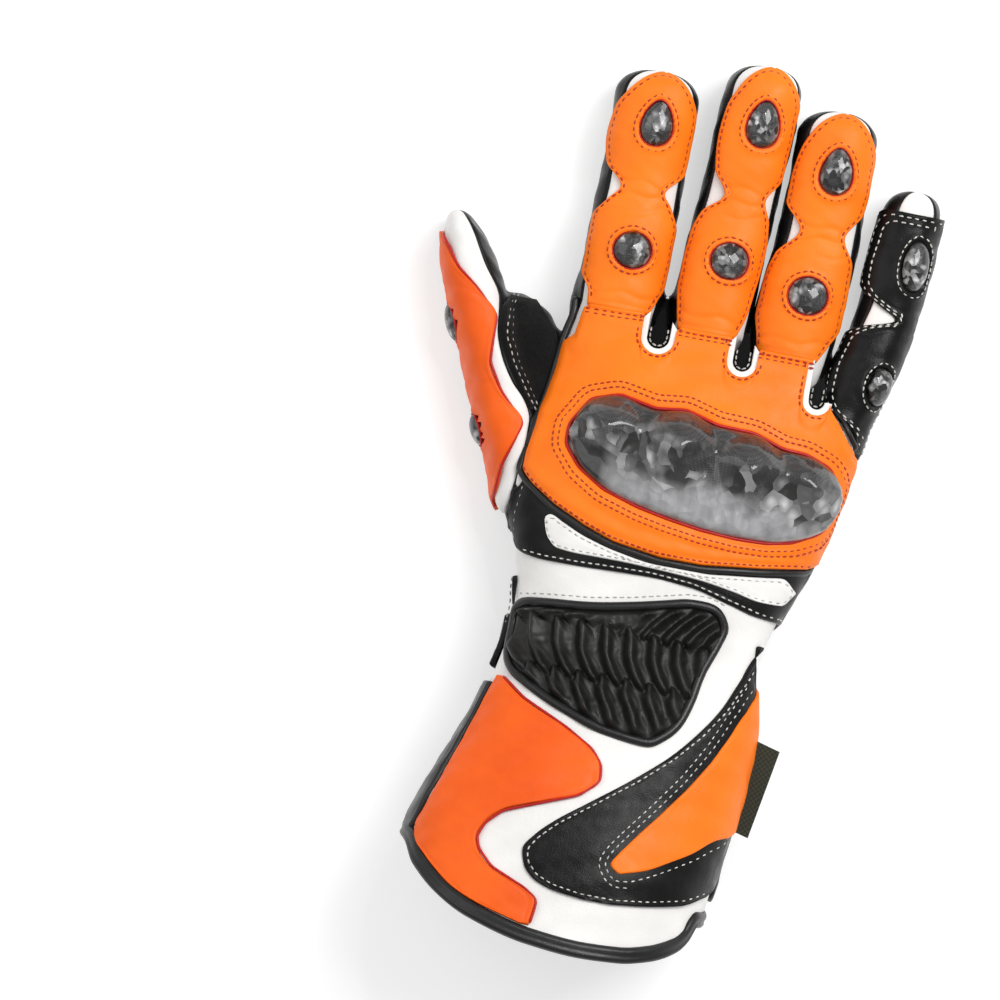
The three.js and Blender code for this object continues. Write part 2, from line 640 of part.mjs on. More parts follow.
function cuffSwoosh() {
  const panel = onBack(rowsOutline(CUFF_SWOOSH), FLAP_TOP + GAP);
  return panel.subtract(prism(rowsOutline(CUFF_BLADE, GAP))).intersect(hemCut(HEM_INNER, GAP));
}

function cuffBlade() {
  return onBack(rowsOutline(CUFF_BLADE), FLAP_TOP + GAP);
}

function closureFlap() {
  return onPalm(rowsOutline(CLOSURE_FLAP), FLAP_TOP).subtract(prism(columnsOutline(LOOP_PATCH, GAP)));
}

function wristStrap() {
  return onPalm(columnsOutline(WRIST_STRAP), STRAP_TOP);
}

function loopPatch() {
  const patch = onPalm(columnsOutline(LOOP_PATCH), LOOP_PATCH_TOP);
  return patch.subtract(prism(columnsOutline(WRIST_STRAP, GAP)));
}

function palmPatch() {
  return onPalm(PALM_PATCH, PALM_SEAM);
}

function heelPad() {
  return onPalm(HEEL_PAD, HEEL_PAD_TOP).subtract(prism(columnsOutline(LOOP_PATCH, GAP)));
}

function sideLabel() {
  return prism(SIDE_LABEL, SIDE_LABEL_LOW, SIDE_LABEL_LOW + SIDE_LABEL_THICK).subtract(form(PANEL + GAP));
}

// Hard pieces
function ball(x, y, z, halfX, halfY, halfZ) {
  const sphere = new THREE.SphereGeometry(1, BALL_SIDES, BALL_RINGS);
  sphere.rotateX(Math.PI / 2);
  sphere.scale(halfX, halfY, halfZ);
  sphere.translate(x, y, z);
  return solid(sphere);
}

// Height of a tube's top over a point in plan, taken short of its sides
const SIDE_LIMIT = 0.98;
function topOver(rows, x, y) {
  const after = Math.max(1, rows.findIndex((row) => row[0] >= y));
  const [from, to] = [rows[after - 1], rows[after]];
  const part = (y - from[0]) / (to[0] - from[0]);
  const [left, right, low, high] = [1, 2, 3, 4].map((k) => from[k] + (to[k] - from[k]) * part);
  const across = Math.min(SIDE_LIMIT, Math.abs(x - (left + right) / 2) / ((right - left) / 2));
  return (low + high) / 2 + ((high - low) / 2) * (1 - across ** ROUND_TOP) ** (1 / ROUND_TOP);
}

function knuckleGuard() {
  let guard = form(GUARD_EDGE);
  for (const [x, y, halfWidth, halfLength, height] of BUMPS) {
    const middle = topOver(BODY, x, y) - BUMP_SUNK;
    guard = guard.add(ball(x, y, middle, halfWidth, halfLength, height + BUMP_SUNK));
  }
  return guard.intersect(prism(columnsOutline(GUARD), GUARD_LOW)).subtract(panelBack);
}

function fingerDome([finger, x, y, halfWidth, halfLength, height]) {
  const middle = topOver(fingerRows(finger), x, y) - DOME_SUNK;
  const dome = ball(x, y, middle, halfWidth, halfLength, height + DOME_SUNK);
  return dome.intersect(prism(ellipseOutline(x, y, halfWidth, halfLength))).subtract(panelBack);
}

function thumbDome([x, y, z, depth, length, height]) {
  return ball(x, y, z, depth, length, height).subtract(panelBack);
}

// The glove
const group = new THREE.Group();

function addPiece(name, look, piece) {
  const mesh = new THREE.Mesh(geometryOf(piece), new THREE.MeshStandardMaterial(LOOKS[look]));
  mesh.name = name;
  mesh.position.copy(SHIFT);
  group.add(mesh);
}

addPiece('back_leather', 'white_leather', backLeather());
addPiece('palm_leather', 'black_leather', palmLeather());
addPiece('index_side_strip', 'black_leather', sideStrip(null, 'index'));
addPiece('fourchette_index_middle', 'black_leather', sideStrip('index', 'middle'));
addPiece('fourchette_middle_ring', 'black_leather', sideStrip('middle', 'ring'));
addPiece('fourchette_ring_pinky', 'black_leather', sideStrip('ring', 'pinky'));
addPiece('pinky_side_strip', 'black_leather', sideStrip('pinky', null));
addPiece('thumb_back', 'white_leather', thumbBack());
addPiece('thumb_palm', 'black_leather', thumbPalm());
addPiece('cuff_back', 'white_leather', cuffBack());
addPiece('cuff_palm', 'black_leather', cuffPalm());
addPiece('hem_binding', 'black_leather', hemBinding());

addPiece('index_panel', 'orange_leather', fingerPanel(INDEX_PANEL, 'index', FINGER_PANEL_LOW));
addPiece('middle_panel', 'orange_leather', fingerPanel(MIDDLE_PANEL, 'middle', FINGER_PANEL_LOW));
addPiece('ring_panel', 'orange_leather', fingerPanel(RING_PANEL, 'ring', FINGER_PANEL_LOW));
addPiece('pinky_panel', 'black_leather', fingerPanel(PINKY_PANEL, 'pinky', PINKY_PANEL_LOW));
addPiece('hand_panel', 'orange_leather', handPanel());
addPiece('thumb_panel', 'orange_leather', thumbPanel());
addPiece('crotch_patch', 'suede', crotchPatch());
addPiece('wrist_band', 'black_leather', wristBand());
addPiece('wrist_band_inset', 'white_leather', wristBandInset());
addPiece('ribbed_panel', 'black_leather', ribbedPanel());
addPiece('cuff_side_panel', 'orange_leather', cuffSidePanel());
addPiece('cuff_side_binding', 'black_leather', cuffSideBinding());
addPiece('cuff_swoosh', 'black_leather', cuffSwoosh());
addPiece('cuff_blade', 'orange_leather', cuffBlade());
addPiece('closure_flap', 'black_leather', closureFlap());
addPiece('wrist_strap', 'black_leather', wristStrap());
addPiece('loop_patch', 'webbing', loopPatch());
addPiece('palm_patch', 'suede', palmPatch());
addPiece('heel_pad', 'black_leather', heelPad());
addPiece('side_label', 'webbing', sideLabel());

addPiece('knuckle_guard', 'clear_plastic', knuckleGuard());
for (const [name, dome] of Object.entries(FINGER_DOMES)) addPiece(name, 'clear_plastic', fingerDome(dome));
for (const [name, dome] of Object.entries(THUMB_DOMES)) addPiece(name, 'clear_plastic', thumbDome(dome));

export default group;
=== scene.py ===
"""The looks of a right-hand gauntlet glove that lies palm down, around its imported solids."""

import math

import bpy
import numpy as np
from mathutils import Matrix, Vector


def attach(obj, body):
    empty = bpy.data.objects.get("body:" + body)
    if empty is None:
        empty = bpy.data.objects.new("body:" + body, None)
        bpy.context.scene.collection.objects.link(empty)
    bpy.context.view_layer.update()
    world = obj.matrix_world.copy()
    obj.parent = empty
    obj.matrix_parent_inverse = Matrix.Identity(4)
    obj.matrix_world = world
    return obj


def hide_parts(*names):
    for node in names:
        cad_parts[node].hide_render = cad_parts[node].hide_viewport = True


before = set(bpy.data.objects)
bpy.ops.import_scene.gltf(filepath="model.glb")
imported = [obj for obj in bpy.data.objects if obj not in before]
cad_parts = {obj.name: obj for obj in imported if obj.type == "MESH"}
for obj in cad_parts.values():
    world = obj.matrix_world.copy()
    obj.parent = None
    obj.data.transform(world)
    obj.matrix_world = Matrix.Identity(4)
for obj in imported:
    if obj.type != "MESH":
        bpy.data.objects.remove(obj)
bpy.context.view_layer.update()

# Lengths below are in millimetres, +X to the little finger, +Y to the fingertips, +Z up
MM = 0.001
SHIFT = np.array([-0.52, 0.4, 0.0])
# Leather: wall, height over the floor of the suede patch, and height of a sewn panel
WALL = 1.6
LIFT = 1.6
PANEL = 1.6
# Powers of the superellipses: above and below a section's middle, and along a tube's round ends
ROUND_TOP = 2.3
ROUND_LOW = 3.2
ROUND_CAP = 2.4
# Share of a section's half width past which x counts on down the steep side, and the degrees that
# stand there for half the section's height
SIDE_SHARE = 0.97
SIDE_TURN = 50
# Seams: z between strip and palm, y at the wrist, turn of the cuff's in degrees from its top, and
# how deep seams draw the leather down and stitches the panels
PALM_SEAM = 7.6
WRIST_SEAM_Y = -20.6
CUFF_SEAM = 94.0
SEAM_DIP = 0.9
GROOVE_DEPTH = 0.22
# Stitches: length, sides, how deep they sit, and the distance from one to the next
STITCH = 1.6
STITCH_SIDES = 5
STITCH_SINK = 0.12
PITCH = 2.3
CLOSE_PITCH = 2.0
# Distance between the folds of the ribbed panel
RIB_PITCH = 7.8

# Sections of the glove's tubes: y, left, right, low, high
BODY = [
    (-165, -66.5, 40.5, -0.6, 78.6), (-152, -63, 42, 0.4, 76), (-112, -54, 47.3, 3.5, 68.5),
    (-72, -39.3, 51, 8, 56.5), (-47, -34, 48.5, 6, 49.5), (-33, -35, 51.5, 3, 47),
    (2, -41.4, 62.6, 0.4, 46.2), (38, -35, 68, 0.4, 37.5), (76, -33, 72, 0.4, 23),
]
INDEX = [
    (40, -32.2, -7.8, 0.4, 28.5), (78, -32.6, -4.6, 0.4, 27.5), (102, -32, -4.4, 0.4, 25),
    (141.2, -31.9, -4.7, 0.4, 25.5),
]
MIDDLE = [
    (38, 0.4, 23.6, 0.4, 29), (78, -0.7, 25.7, 0.4, 28), (105.5, 1.4, 27, 0.4, 25.5),
    (149.3, 3.8, 29, 0.4, 26),
]
RING = [
    (34, 28.4, 47.6, 0.4, 28), (72, 26.9, 54.9, 0.4, 27), (99, 29.1, 55.9, 0.4, 24.8),
    (138.8, 30, 55.6, 0.4, 25),
]
PINKY = [
    (26, 48.1, 64.9, 0.4, 26), (64, 57.2, 76.4, 0.4, 24.8), (80, 59.4, 78.6, 0.4, 23),
    (117.6, 62, 81.6, 0.4, 22.5),
]
THUMB = [
    (-12, -45.5, -33, 2, 29), (5, -50.4, -33, 0.4, 31), (22, -58, -37, 0.4, 31.5),
    (47, -69, -50, 0.4, 30), (67, -77, -58.7, 0.4, 28), (84.4, -81, -70, 0.4, 26),
]
WEB = [
    (0, -48, -36, 0.4, 25), (40, -62, -30, 0.4, 24), (54, -62, -38, 0.4, 21), (61, -56, -45, 1.5, 16.5),
]
# Rows, and the lengths of the round root and tip
TUBES = {
    "body": (np.array(BODY, float), 3, 3),
    "index": (np.array(INDEX, float), 3, 10),
    "middle": (np.array(MIDDLE, float), 3, 10),
    "ring": (np.array(RING, float), 3, 10),
    "pinky": (np.array(PINKY, float), 3, 10),
    "thumb": (np.array(THUMB, float), 7, 9),
    "web": (np.array(WEB, float), 3, 6),
}
FINGERS = ("index", "middle", "ring", "pinky")

# Where the hand ends between the fingers: x, y at the palm, y at the back
FINGER_WEBS = [(-60, 68, 52), (-4, 68, 50), (24.5, 66, 48), (51, 58, 40), (90, 48, 30)]
# Seam between the back and the strips below it: y, z
BACK_SEAM = [
    (-160, 38), (-119, 36.5), (-60, 30), (-20, 27), (20, 26), (50, 19), (70, 17), (160, 16.5),
]
# Edge of the thumb's white back: y, x
THUMB_BACK_EDGE = [
    (-14, -43), (20, -40), (25.5, -42), (32, -48), (40, -53), (47, -55.5), (58, -57), (69, -64),
    (79, -70), (84, -74.5), (90, -76),
]
# Hem: x, inner edge and outer edge of the binding at the back, then at the palm
HEM = [
    (-80, -117, -120.5, -117, -120.5), (-56.5, -117, -120.5, -117, -120.5),
    (-50, -124.5, -130.5, -119.5, -125), (-40, -133, -138.5, -122.5, -128),
    (-30, -138.3, -143, -125, -130.5), (-10, -143.2, -148.2, -127.8, -133.3),
    (8, -144.8, -149.6, -128.8, -134.3), (20, -144.2, -149.2, -129, -134.5),
    (30, -142, -147, -128.3, -133.8), (37.5, -138, -143.2, -128, -133.3),
    (41, -133.5, -138.7, -127.8, -133), (42.6, -128.5, -133.7, -127.6, -132.8),
    (80, -127.5, -132.7, -127.5, -132.7),
]

# Panels along the glove: y, left, right; WRAP stands for an edge down on the glove's side
WRAP = 90
INDEX_PANEL = [
    (61.2, -28, -9), (66, -28.5, -7.2), (72, -31.2, -5.6), (90, -31, -5.4), (97, -27.5, -7.6),
    (101.5, -24.6, -10.2), (109, -30, -5.6), (118, -31.2, -5.4), (127, -30.2, -5.5), (134, -28.4, -5.9),
    (139.8, -27.4, -6.3),
]
MIDDLE_PANEL = [
    (58.4, 3, 20.5), (66, 1.6, 22.7), (74, 0.8, 23.8), (90, 1.6, 25), (98, 3.6, 24.6),
    (105, 9.4, 22.6), (113, 5.4, 26), (123, 4.8, 26.6), (133, 5.6, 27.2), (140, 7.2, 27.6), (147.8, 8, 27.6),
]
RING_PANEL = [
    (55.9, 30, 48.3), (62, 29, 51.2), (69, 27.8, 53.8), (80, 28.2, 54.2), (89, 30.2, 54),
    (98, 36, 50.6), (107, 30.8, 54.6), (114, 31, 55), (122, 31.8, 55), (129, 33.2, 54.8), (137.2, 34, 54.4),
]
PINKY_PANEL = [
    (27, 66.5, WRAP), (31, 64.5, WRAP), (37, 60.5, WRAP), (42, 55.5, WRAP), (47, 54, WRAP),
    (66, 56.8, WRAP), (70, 61, WRAP), (74.5, 72, WRAP), (78, 66.5, WRAP), (82, 61, WRAP),
    (86, 59.2, WRAP), (96, 59.8, WRAP), (110, 61.4, WRAP),
]
THUMB_PANEL = [
    (-10, -WRAP, -47.5), (-5, -WRAP, -46.4), (4, -WRAP, -46), (19, -WRAP, -42.5), (28, -WRAP, -51),
    (37, -WRAP, -56.3), (52, -WRAP, -57.5), (59.5, -WRAP, -64.5), (66, -WRAP, -72), (76.5, -WRAP, -79),
]
CUFF_SIDE_PANEL = [
    (-142.3, -13.5, -10.6), (-138, -29.5, -10), (-134, -38.5, -9.6), (-131, -42.5, -14),
    (-126, -48, -26), (-121, -52, -31), (-117, -52.3, -32.4), (-112, -50.7, -30.5), (-107, -49, -25.5),
    (-101.5, -47.1, -12), (-97.5, -45.8, -2), (-92, -44, 3.8), (-87, -42.2, 3.2), (-82.5, -40.8, -0.5),
    (-77, -39, -10), (-70, -36.8, -25.5), (-64, -34.8, -33.5),
]
CUFF_SIDE_BINDING = [
    (-118.5, -WRAP, -53.5), (-100, -WRAP, -47.2), (-80, -WRAP, -40.6), (-66.5, -WRAP, -36.3),
]
CUFF_SWOOSH = [
    (-131, 4, 16), (-129.5, -6, 27), (-127, -12, 38), (-123, -15.7, 44.5), (-118, -17, WRAP),
    (-113, -14, WRAP), (-107, -8, WRAP), (-100, 1, WRAP), (-89, 15, WRAP), (-80, 25, WRAP),
    (-71, 32.7, WRAP), (-62, 38.7, WRAP), (-52, 43, WRAP), (-44, 46, WRAP), (-39, 49, WRAP),
]
CUFF_BLADE = [
    (-120.8, 14, 16.5), (-118, 12, 24), (-114.5, 13.8, 30), (-110, 17, 37), (-104, 21.5, 44),
    (-99, 25.3, WRAP), (-88, 33, WRAP), (-76, 39.7, WRAP), (-62, 45.7, WRAP), (-53, 49.2, WRAP),
]
CLOSURE_FLAP = [
    (-124.6, 19, WRAP), (-121, 11.5, WRAP), (-115, 7.5, WRAP), (-104, 6, WRAP), (-94, 6.7, WRAP),
    (-86, 10.3, WRAP), (-78, 17.5, WRAP), (-70.5, 31.5, WRAP), (-64.5, 44.5, WRAP),
]
CROTCH_PATCH = [
    (24, -41.5, -37.6), (31, -46.5, -36.6), (38, -51, -35.7), (45, -54.8, -35), (50, -56, -37.5),
    (55, -56, -41.5), (59, -54.5, -45.5),
]

# Panels across the glove: x, lower, upper
GUARD = [
    (-26.5, 14.5, 21), (-21, 7.8, 30.5), (-12, 2.3, 33.5), (0, -1.4, 31), (10, -3.4, 32.4),
    (21, -5, 29.3), (33, -5.8, 29), (43, -5.4, 25.6), (51, -3.6, 25.3), (59, 1, 22.3), (63.5, 8, 15.5),
]
WRIST_BAND = [
    (-WRAP, -17, -2), (-39.5, -17, -2), (-37.5, -20.5, 1.5), (-33, -23.3, -2.5), (-27, -24, -6.4),
    (-16, -24, -11.6), (-5, -23.6, -15.2), (8, -23.3, -17.6), (22, -24.3, -17.6), (35, -27.5, -16),
    (45, -30, -14.6), (58, -31, -11.8), (WRAP, -31, -9),
]
WRIST_BAND_INSET = [
    (-28.6, -12, -8.4), (-26.5, -16.5, -8.8), (-23, -19.4, -10.6), (-15, -20, -14), (-4, -20, -17),
    (10, -20.5, -18.9), (24, -21.4, -18.9), (35, -23, -17.8), (45, -24.8, -16.5), (51, -24.6, -15.6),
    (54.6, -20.5, -18),
]
RIBBED_PANEL = [
    (-34.5, -56, -40), (-33, -60.5, -37.7), (-25, -66.3, -36.4), (-10, -73, -34.9), (3, -77, -32.5),
    (17, -78.4, -29.2), (21, -76, -28.2), (25.5, -71, -27.9), (28.5, -62, -28), (30, -53, -28.3),
    (33, -45.5, -29.3), (36.5, -38, -31.8),
]
WRIST_STRAP = [
    (-WRAP, -62, -43.5), (-20, -63.5, -44.2), (31, -65.5, -46), (37, -63, -48.5), (40, -58, -53.5),
]
LOOP_PATCH = [(20.5, -64.5, -39.5), (33, -63.5, -39), (46, -62.5, -38.5)]
# The root of the strap beside the ribbed panel: y, left, right
STRAP_ROOT = [(-48.6, -WRAP, -36.2), (-40, -WRAP, -36.4), (-30.6, -WRAP, -37.2)]

# Outlines on the palm: x, y
PALM_PATCH = [
    (-24, 21), (-18, 18), (-13, 25), (-11, 35), (-8, 42.5), (-4, 40), (2, 33), (9.7, 26), (30, 35),
    (46, 43), (50.5, 47), (46, 51), (30, 55.5), (14.6, 60), (17, 76), (15.5, 83.5), (11.7, 86.3),
    (7, 83), (4, 72), (0, 62.5), (-5, 61), (-9, 66), (-12, 80), (-15, 85.5), (-19, 87), (-24, 84),
    (-27.3, 76), (-26.8, 40),
]
HEEL_PAD = [
    (55, 16), (23.5, 4.6), (4, 0), (-4.6, -6.5), (-7.7, -17), (-6.5, -28.3), (2.4, -34.5), (25.4, -36),
    (49, -34), (62, -28), (67, -10), (68, 8),
]
SIDE_LABEL = [(44, -67.5), (60.5, -72), (55.3, -101.8), (41, -98)]

# Level rings of the suede patch under the palm: inset, z
PATCH_RINGS = [(0.0, LIFT + 0.2), (0.0, 0.45), (0.18, 0.18), (0.5, 0.04), (1.0, 0.0)]

# Gaps between the fingers: x, y of the round bottom, half width up to the orange leather
SLOTS = [(-3.5, 49, 5.6), (25, 46.6, 5), (51.2, 38.8, 4.6)]
# y at which the gaps' left and right edges end: of the white rims, and of the hand panel
SLOT_TOPS = [(60, 57.5), (57, 55), (54, 42.6)]
HAND_SLOT_TOPS = [(60.8, 58.2), (58, 55.8), (55.4, 42.2)]
# Width of the white rims
RIM = 1.9
# Knuckle bumps: x, y, half width, half length, height
BUMPS = [(-13.5, 18, 11.5, 15, 7.5), (10, 16, 12.5, 17, 9), (33, 13, 12, 17, 9), (52.5, 12, 10.5, 14, 7.2)]
# Domes: tube, x, y, half width, half length, height, how much the outline narrows towards the tip
DOMES = {
    "index_dome_tip": ("index", -16.8, 124, 4.9, 7.5, 3.6, 0.45),
    "index_dome_mid": ("index", -17.2, 81.3, 6, 6, 3.6, 0),
    "middle_dome_tip": ("middle", 17.6, 130, 5, 7.8, 3.6, 0.45),
    "middle_dome_mid": ("middle", 14.8, 83.5, 6, 6, 3.6, 0),
    "ring_dome_tip": ("ring", 44.2, 119, 5, 7.8, 3.6, 0.45),
    "ring_dome_mid": ("ring", 42.3, 77, 6.2, 6.2, 3.6, 0),
    "pinky_dome_tip": ("pinky", 75, 93, 4.2, 8.4, 3.6, 0.1),
    "pinky_dome_base": ("pinky", 70.2, 52, 4.4, 6.4, 3.6, 0),
    "thumb_dome_tip": ("thumb", -71.2, 48, 4.6, 6.6, 3.4, 0),
    "thumb_dome_base": ("thumb", -57.2, 15, 4, 5.4, 3.2, 0),
}
# Directions in which the knuckle bumps are cut flat
FACET_TURNS = np.radians([-148, -96, -38])

# Outline of the hand panel: x, y; between low right and corner it wraps down the side, at these y
HAND_LOW_RIGHT = [(24, -16.4), (43, -14), (52, -12.4), (60, -10.6)]
HAND_WRAP_Y = (-9, 0, 12, 22, 27)
HAND_CORNER = [(66.5, 28.5), (63.5, 32), (60, 37), (56.6, 41)]
HAND_LEFT = [
    (-28.6, 60.8), (-30, 51), (-33, 48), (-34.6, 37), (-36.6, 27), (-38.6, 15), (-39.3, 10), (-39, 4),
    (-35, 0), (-27, -5.3), (-16, -10.5), (-6, -14), (10, -16.4),
]
# Points of the hand panel's outline and of its window that belong together
ANCHORS = [
    ((24, -16.4), (21, -5)), ((60, -10.6), (54, -3)), ((72, 12), (63.5, 12)), ((63, 33), (58, 22.5)),
    ((51.2, 38.8), (49, 25.5)), ((25, 46.6), (24, 29.5)), ((-3.5, 49), (-3.5, 31.5)),
    ((-33, 46), (-20, 31.5)), ((-39.3, 9), (-26.5, 17)), ((-27, -5.3), (-18, 6)),
]

# Lines of stitches, edges and piping: x, y
HAND_LOW_SEAM = [
    (-38, 4.6), (-34.5, 0.8), (-27, -4.2), (-16, -9.3), (-6, -12.8), (8, -15), (24, -15.2), (43, -12.8),
    (58, -9.8),
]
HAND_SIDE_SEAM = [(-38, 9), (-37.3, 15), (-35.2, 27), (-33.3, 37), (-31.8, 46)]
HAND_LOW_BINDING = [
    (-39.9, 12), (-40.2, 6), (-37.5, 1.5), (-27.6, -5.6), (-16.2, -11), (-6.2, -14.6), (10, -17),
    (24, -17), (43, -14.6), (52, -13), (61, -11), (64, -10.4),
]
HAND_PIPING = [
    (-30.8, 64), (-31.6, 58), (-33.4, 50), (-35.2, 38), (-37.2, 25), (-40.2, 15), (-42.3, 5),
    (-43.2, -8), (-42.8, -17),
]
LITTLE_CORD = [(66.8, 30), (64, 33.4), (60.6, 38), (57.4, 41.6)]
WRIST_SIDE_SEAM = [(-37.4, -18), (-38, -10), (-37.6, -2)]
STRAP_ROOT_SEAM = [(-45, -47.4), (-38.6, -47.3), (-37.6, -45), (-37.8, -38), (-38.4, -31.8)]
SWOOSH_END = [(16, -131), (27, -129.5), (38, -127), (44.5, -123.5)]
BLADE_LOW_EDGE = [(19, -120.9), (24, -118.6), (30, -115.2), (37, -110.7), (44, -104.8), (47, -101.4)]
BLADE_END = [(15, -121.4), (17.5, -121)]
HEEL_SEAMS = [((23.5, 3.6), (2.4, -34)), ((23.5, 3.6), (48, -33)), ((57.3, 5.8), (49, -33))]
# Seams across the finger roots: left x, right x, y
ROOT_SEAMS = [(-27, -10, 61), (3.5, 19.8, 58.3), (30.6, 47.4, 55.8)]
# Folds across the fingers' panels: y, slant, depth
FOLDS = {
    "index": [(99.5, 0.1, 0.35), (103.5, -0.15, 0.3), (66.5, 0.05, 0.3), (94, 0.2, 0.2)],
    "middle": [(103, 0.12, 0.35), (107.5, -0.1, 0.3), (64, -0.05, 0.3), (98, 0.15, 0.2)],
    "ring": [(95.5, 0.14, 0.35), (100, -0.12, 0.3), (61.5, 0.05, 0.3), (90, 0.18, 0.2)],
    "pinky": [(70, 0.2, 0.25), (79, -0.2, 0.25), (100, 0.1, 0.2)],
    "thumb": [(30, 0.1, 0.25), (58, -0.15, 0.25), (2, 0.1, 0.25)],
}
# How far the crest of a fold of the ribbed panel leans in x, in each of its three rows: y, lean
TOP_LEAN = [(-45, -0.8), (-39, 2.8), (-33, 8), (-28, 13)]
MIDDLE_LEAN = [(-63, 8.5), (-60, 6.2), (-55, 2.9), (-50, 0.8), (-44, 0), (-38, -3.5)]
LOW_LEAN = [(-78, 8), (-69, 4.2), (-64, 1.4), (-59, 0), (-56, -0.2)]

# Nodes of the hand's and fingers' leather; each finger's left and right strip, and where it starts
SHELL_NODES = (
    "back_leather", "palm_leather", "index_side_strip", "fourchette_index_middle",
    "fourchette_middle_ring", "fourchette_ring_pinky", "pinky_side_strip",
)
STRIPS = {
    "index": ("index_side_strip", "fourchette_index_middle"),
    "middle": ("fourchette_index_middle", "fourchette_middle_ring"),
    "ring": ("fourchette_middle_ring", "fourchette_ring_pinky"),
    "pinky": ("fourchette_ring_pinky", "pinky_side_strip"),
}
FINGER_STARTS = {"index": 46, "middle": 46, "ring": 42, "pinky": 34}
# Left and right x of the leather between two fingers
WEB_FACES = {
    "fourchette_index_middle": (-14, 7),
    "fourchette_middle_ring": (17, 34),
    "fourchette_ring_pinky": (44, 60),
}
# Threads: kind, name of the material, colour, slot
THREADS = [
    ("white", "white_thread_finish", (0.66, 0.65, 0.6), "white_leather"),
    ("faint", "grey_thread_finish", (0.5, 0.49, 0.46), "white_leather"),
    ("red", "red_thread_finish", (0.42, 0.025, 0.004), "orange_leather"),
    ("orange", "orange_thread_finish", (0.72, 0.1, 0.008), "orange_leather"),
]

# Studio, in metres and watts: lights by name, place, size and power; floor; camera, its sensor's
# width in millimetres, and the width that the picture shows
LIGHTS = [
    ("key_light", (0.5, 0.5, 1.0), 0.6, 11),
    ("glint_light", (0.1, 0.55, 1.0), 0.05, 0.7),
    ("fill_light", (-0.7, 0.2, 0.8), 0.8, 2.5),
]
FLOOR_Z = -0.0001
CAMERA_PLACE = (-0.0455, -0.0069, 8.0)
CAMERA_TURN = math.atan2(0.1822, 0.9833)
SENSOR = 36
PICTURE_WIDTH = 0.33


# Numbers from tables

def through(table, at):
    """Columns of a table at places along its first column: cubic pieces through the rows, which don't
    overshoot, because each row's slope is the harmonic mean of the slopes beside it."""
    table = np.asarray(table, float)
    at = np.clip(at, table[0, 0], table[-1, 0])
    step = np.diff(table[:, 0])[:, None]
    slope = np.diff(table[:, 1:], axis=0) / step
    product = slope[1:] * slope[:-1]
    total = slope[1:] + slope[:-1]
    inner = np.where(product > 0, 2 * product / np.where(total == 0, 1, total), 0)
    tangent = np.vstack([slope[:1], inner, slope[-1:]])
    row = np.clip(np.searchsorted(table[:, 0], at, side="right") - 1, 0, len(table) - 2)
    part = ((at - table[row, 0]) / step[row, 0])[..., None]
    near = (2 * part ** 3 - 3 * part ** 2 + 1) * table[row, 1:]
    near = near + (part ** 3 - 2 * part ** 2 + part) * tangent[row] * step[row]
    far = (3 * part ** 2 - 2 * part ** 3) * table[row + 1, 1:]
    return near + far + (part ** 3 - part ** 2) * tangent[row + 1] * step[row]


def column(table, at):
    """The single value column of a two-column table."""
    return through(table, at)[..., 0]


def eased(share):
    """A share that starts and ends gently."""
    return share * share * (3 - 2 * share)


def line_length(line):
    """Length of a line through points."""
    return np.linalg.norm(np.diff(line, axis=0), axis=1).sum()


def spread(length, spacing):
    """Shares from 0 to 1 along a length, evenly spaced inside and closer together at both ends."""
    edge = np.array([0, 0.12, 0.3, 0.6, 1.0, 1.5]) * min(1, length / 6)
    count = max(3, int(round((length - 2 * edge[-1]) / spacing)) + 1)
    inner = np.linspace(edge[-1], length - edge[-1], count)
    return np.unique(np.concatenate([edge, inner, length - edge])) / length


def dense(points, count, closed=False, soften=0.0):
    """A line through points, taken again at even lengths, with its corners softened over a length."""
    points = np.asarray(points, float)
    if closed:
        points = np.vstack([points, points[:1]])
    length = np.concatenate([[0], np.cumsum(np.linalg.norm(np.diff(points, axis=0), axis=1))])
    at = np.linspace(0, length[-1], count, endpoint=not closed)
    line = np.stack([np.interp(at, length, points[:, k]) for k in range(points.shape[1])], -1)
    reach = int(round(soften / (length[-1] / count)))
    if reach > 0:
        wide = np.pad(line, ((reach, reach), (0, 0)), mode="wrap" if closed else "edge")
        weights = np.hanning(2 * reach + 3)[1:-1]
        weights = weights / weights.sum()
        line = np.stack([np.convolve(wide[:, k], weights, "valid") for k in range(line.shape[1])], -1)
    return line


def beside(line, distance, closed=False):
    """A line moved sideways, to its left, by a distance."""
    ahead = np.roll(line, -1, axis=0) - np.roll(line, 1, axis=0)
    if not closed:
        ahead[0] = line[1] - line[0]
        ahead[-1] = line[-1] - line[-2]
    ahead = ahead / np.maximum(np.linalg.norm(ahead, axis=1, keepdims=True), 1e-9)
    return line + distance * np.stack([-ahead[:, 1], ahead[:, 0]], -1)


# The glove's form

def section(tube, y):
    """Middle and half size of a tube's section, across and up."""
    left, right, low, high = np.moveaxis(through(TUBES[tube][0], y), -1, 0)
    return (left + right) / 2, (right - left) / 2, (low + high) / 2, (high - low) / 2


def past_ends(tube, y):
    """How far y is into a tube's round root or tip, as a share of its length, and that length."""
    rows, root, tip = TUBES[tube]
    at_tip = (y - (rows[-1, 0] - tip)) / tip
    at_root = (rows[0, 0] + root - y) / root
    return np.maximum(0, np.maximum(at_tip, at_root)), np.where(at_tip > at_root, tip, root)


def drawn_in(tube, y):
    """Share of a section's size that is left over a tube's round root and tip."""
    over, _ = past_ends(tube, y)
    return np.maximum(0.001, 1 - np.minimum(1, over) ** ROUND_CAP) ** (1 / ROUND_CAP)


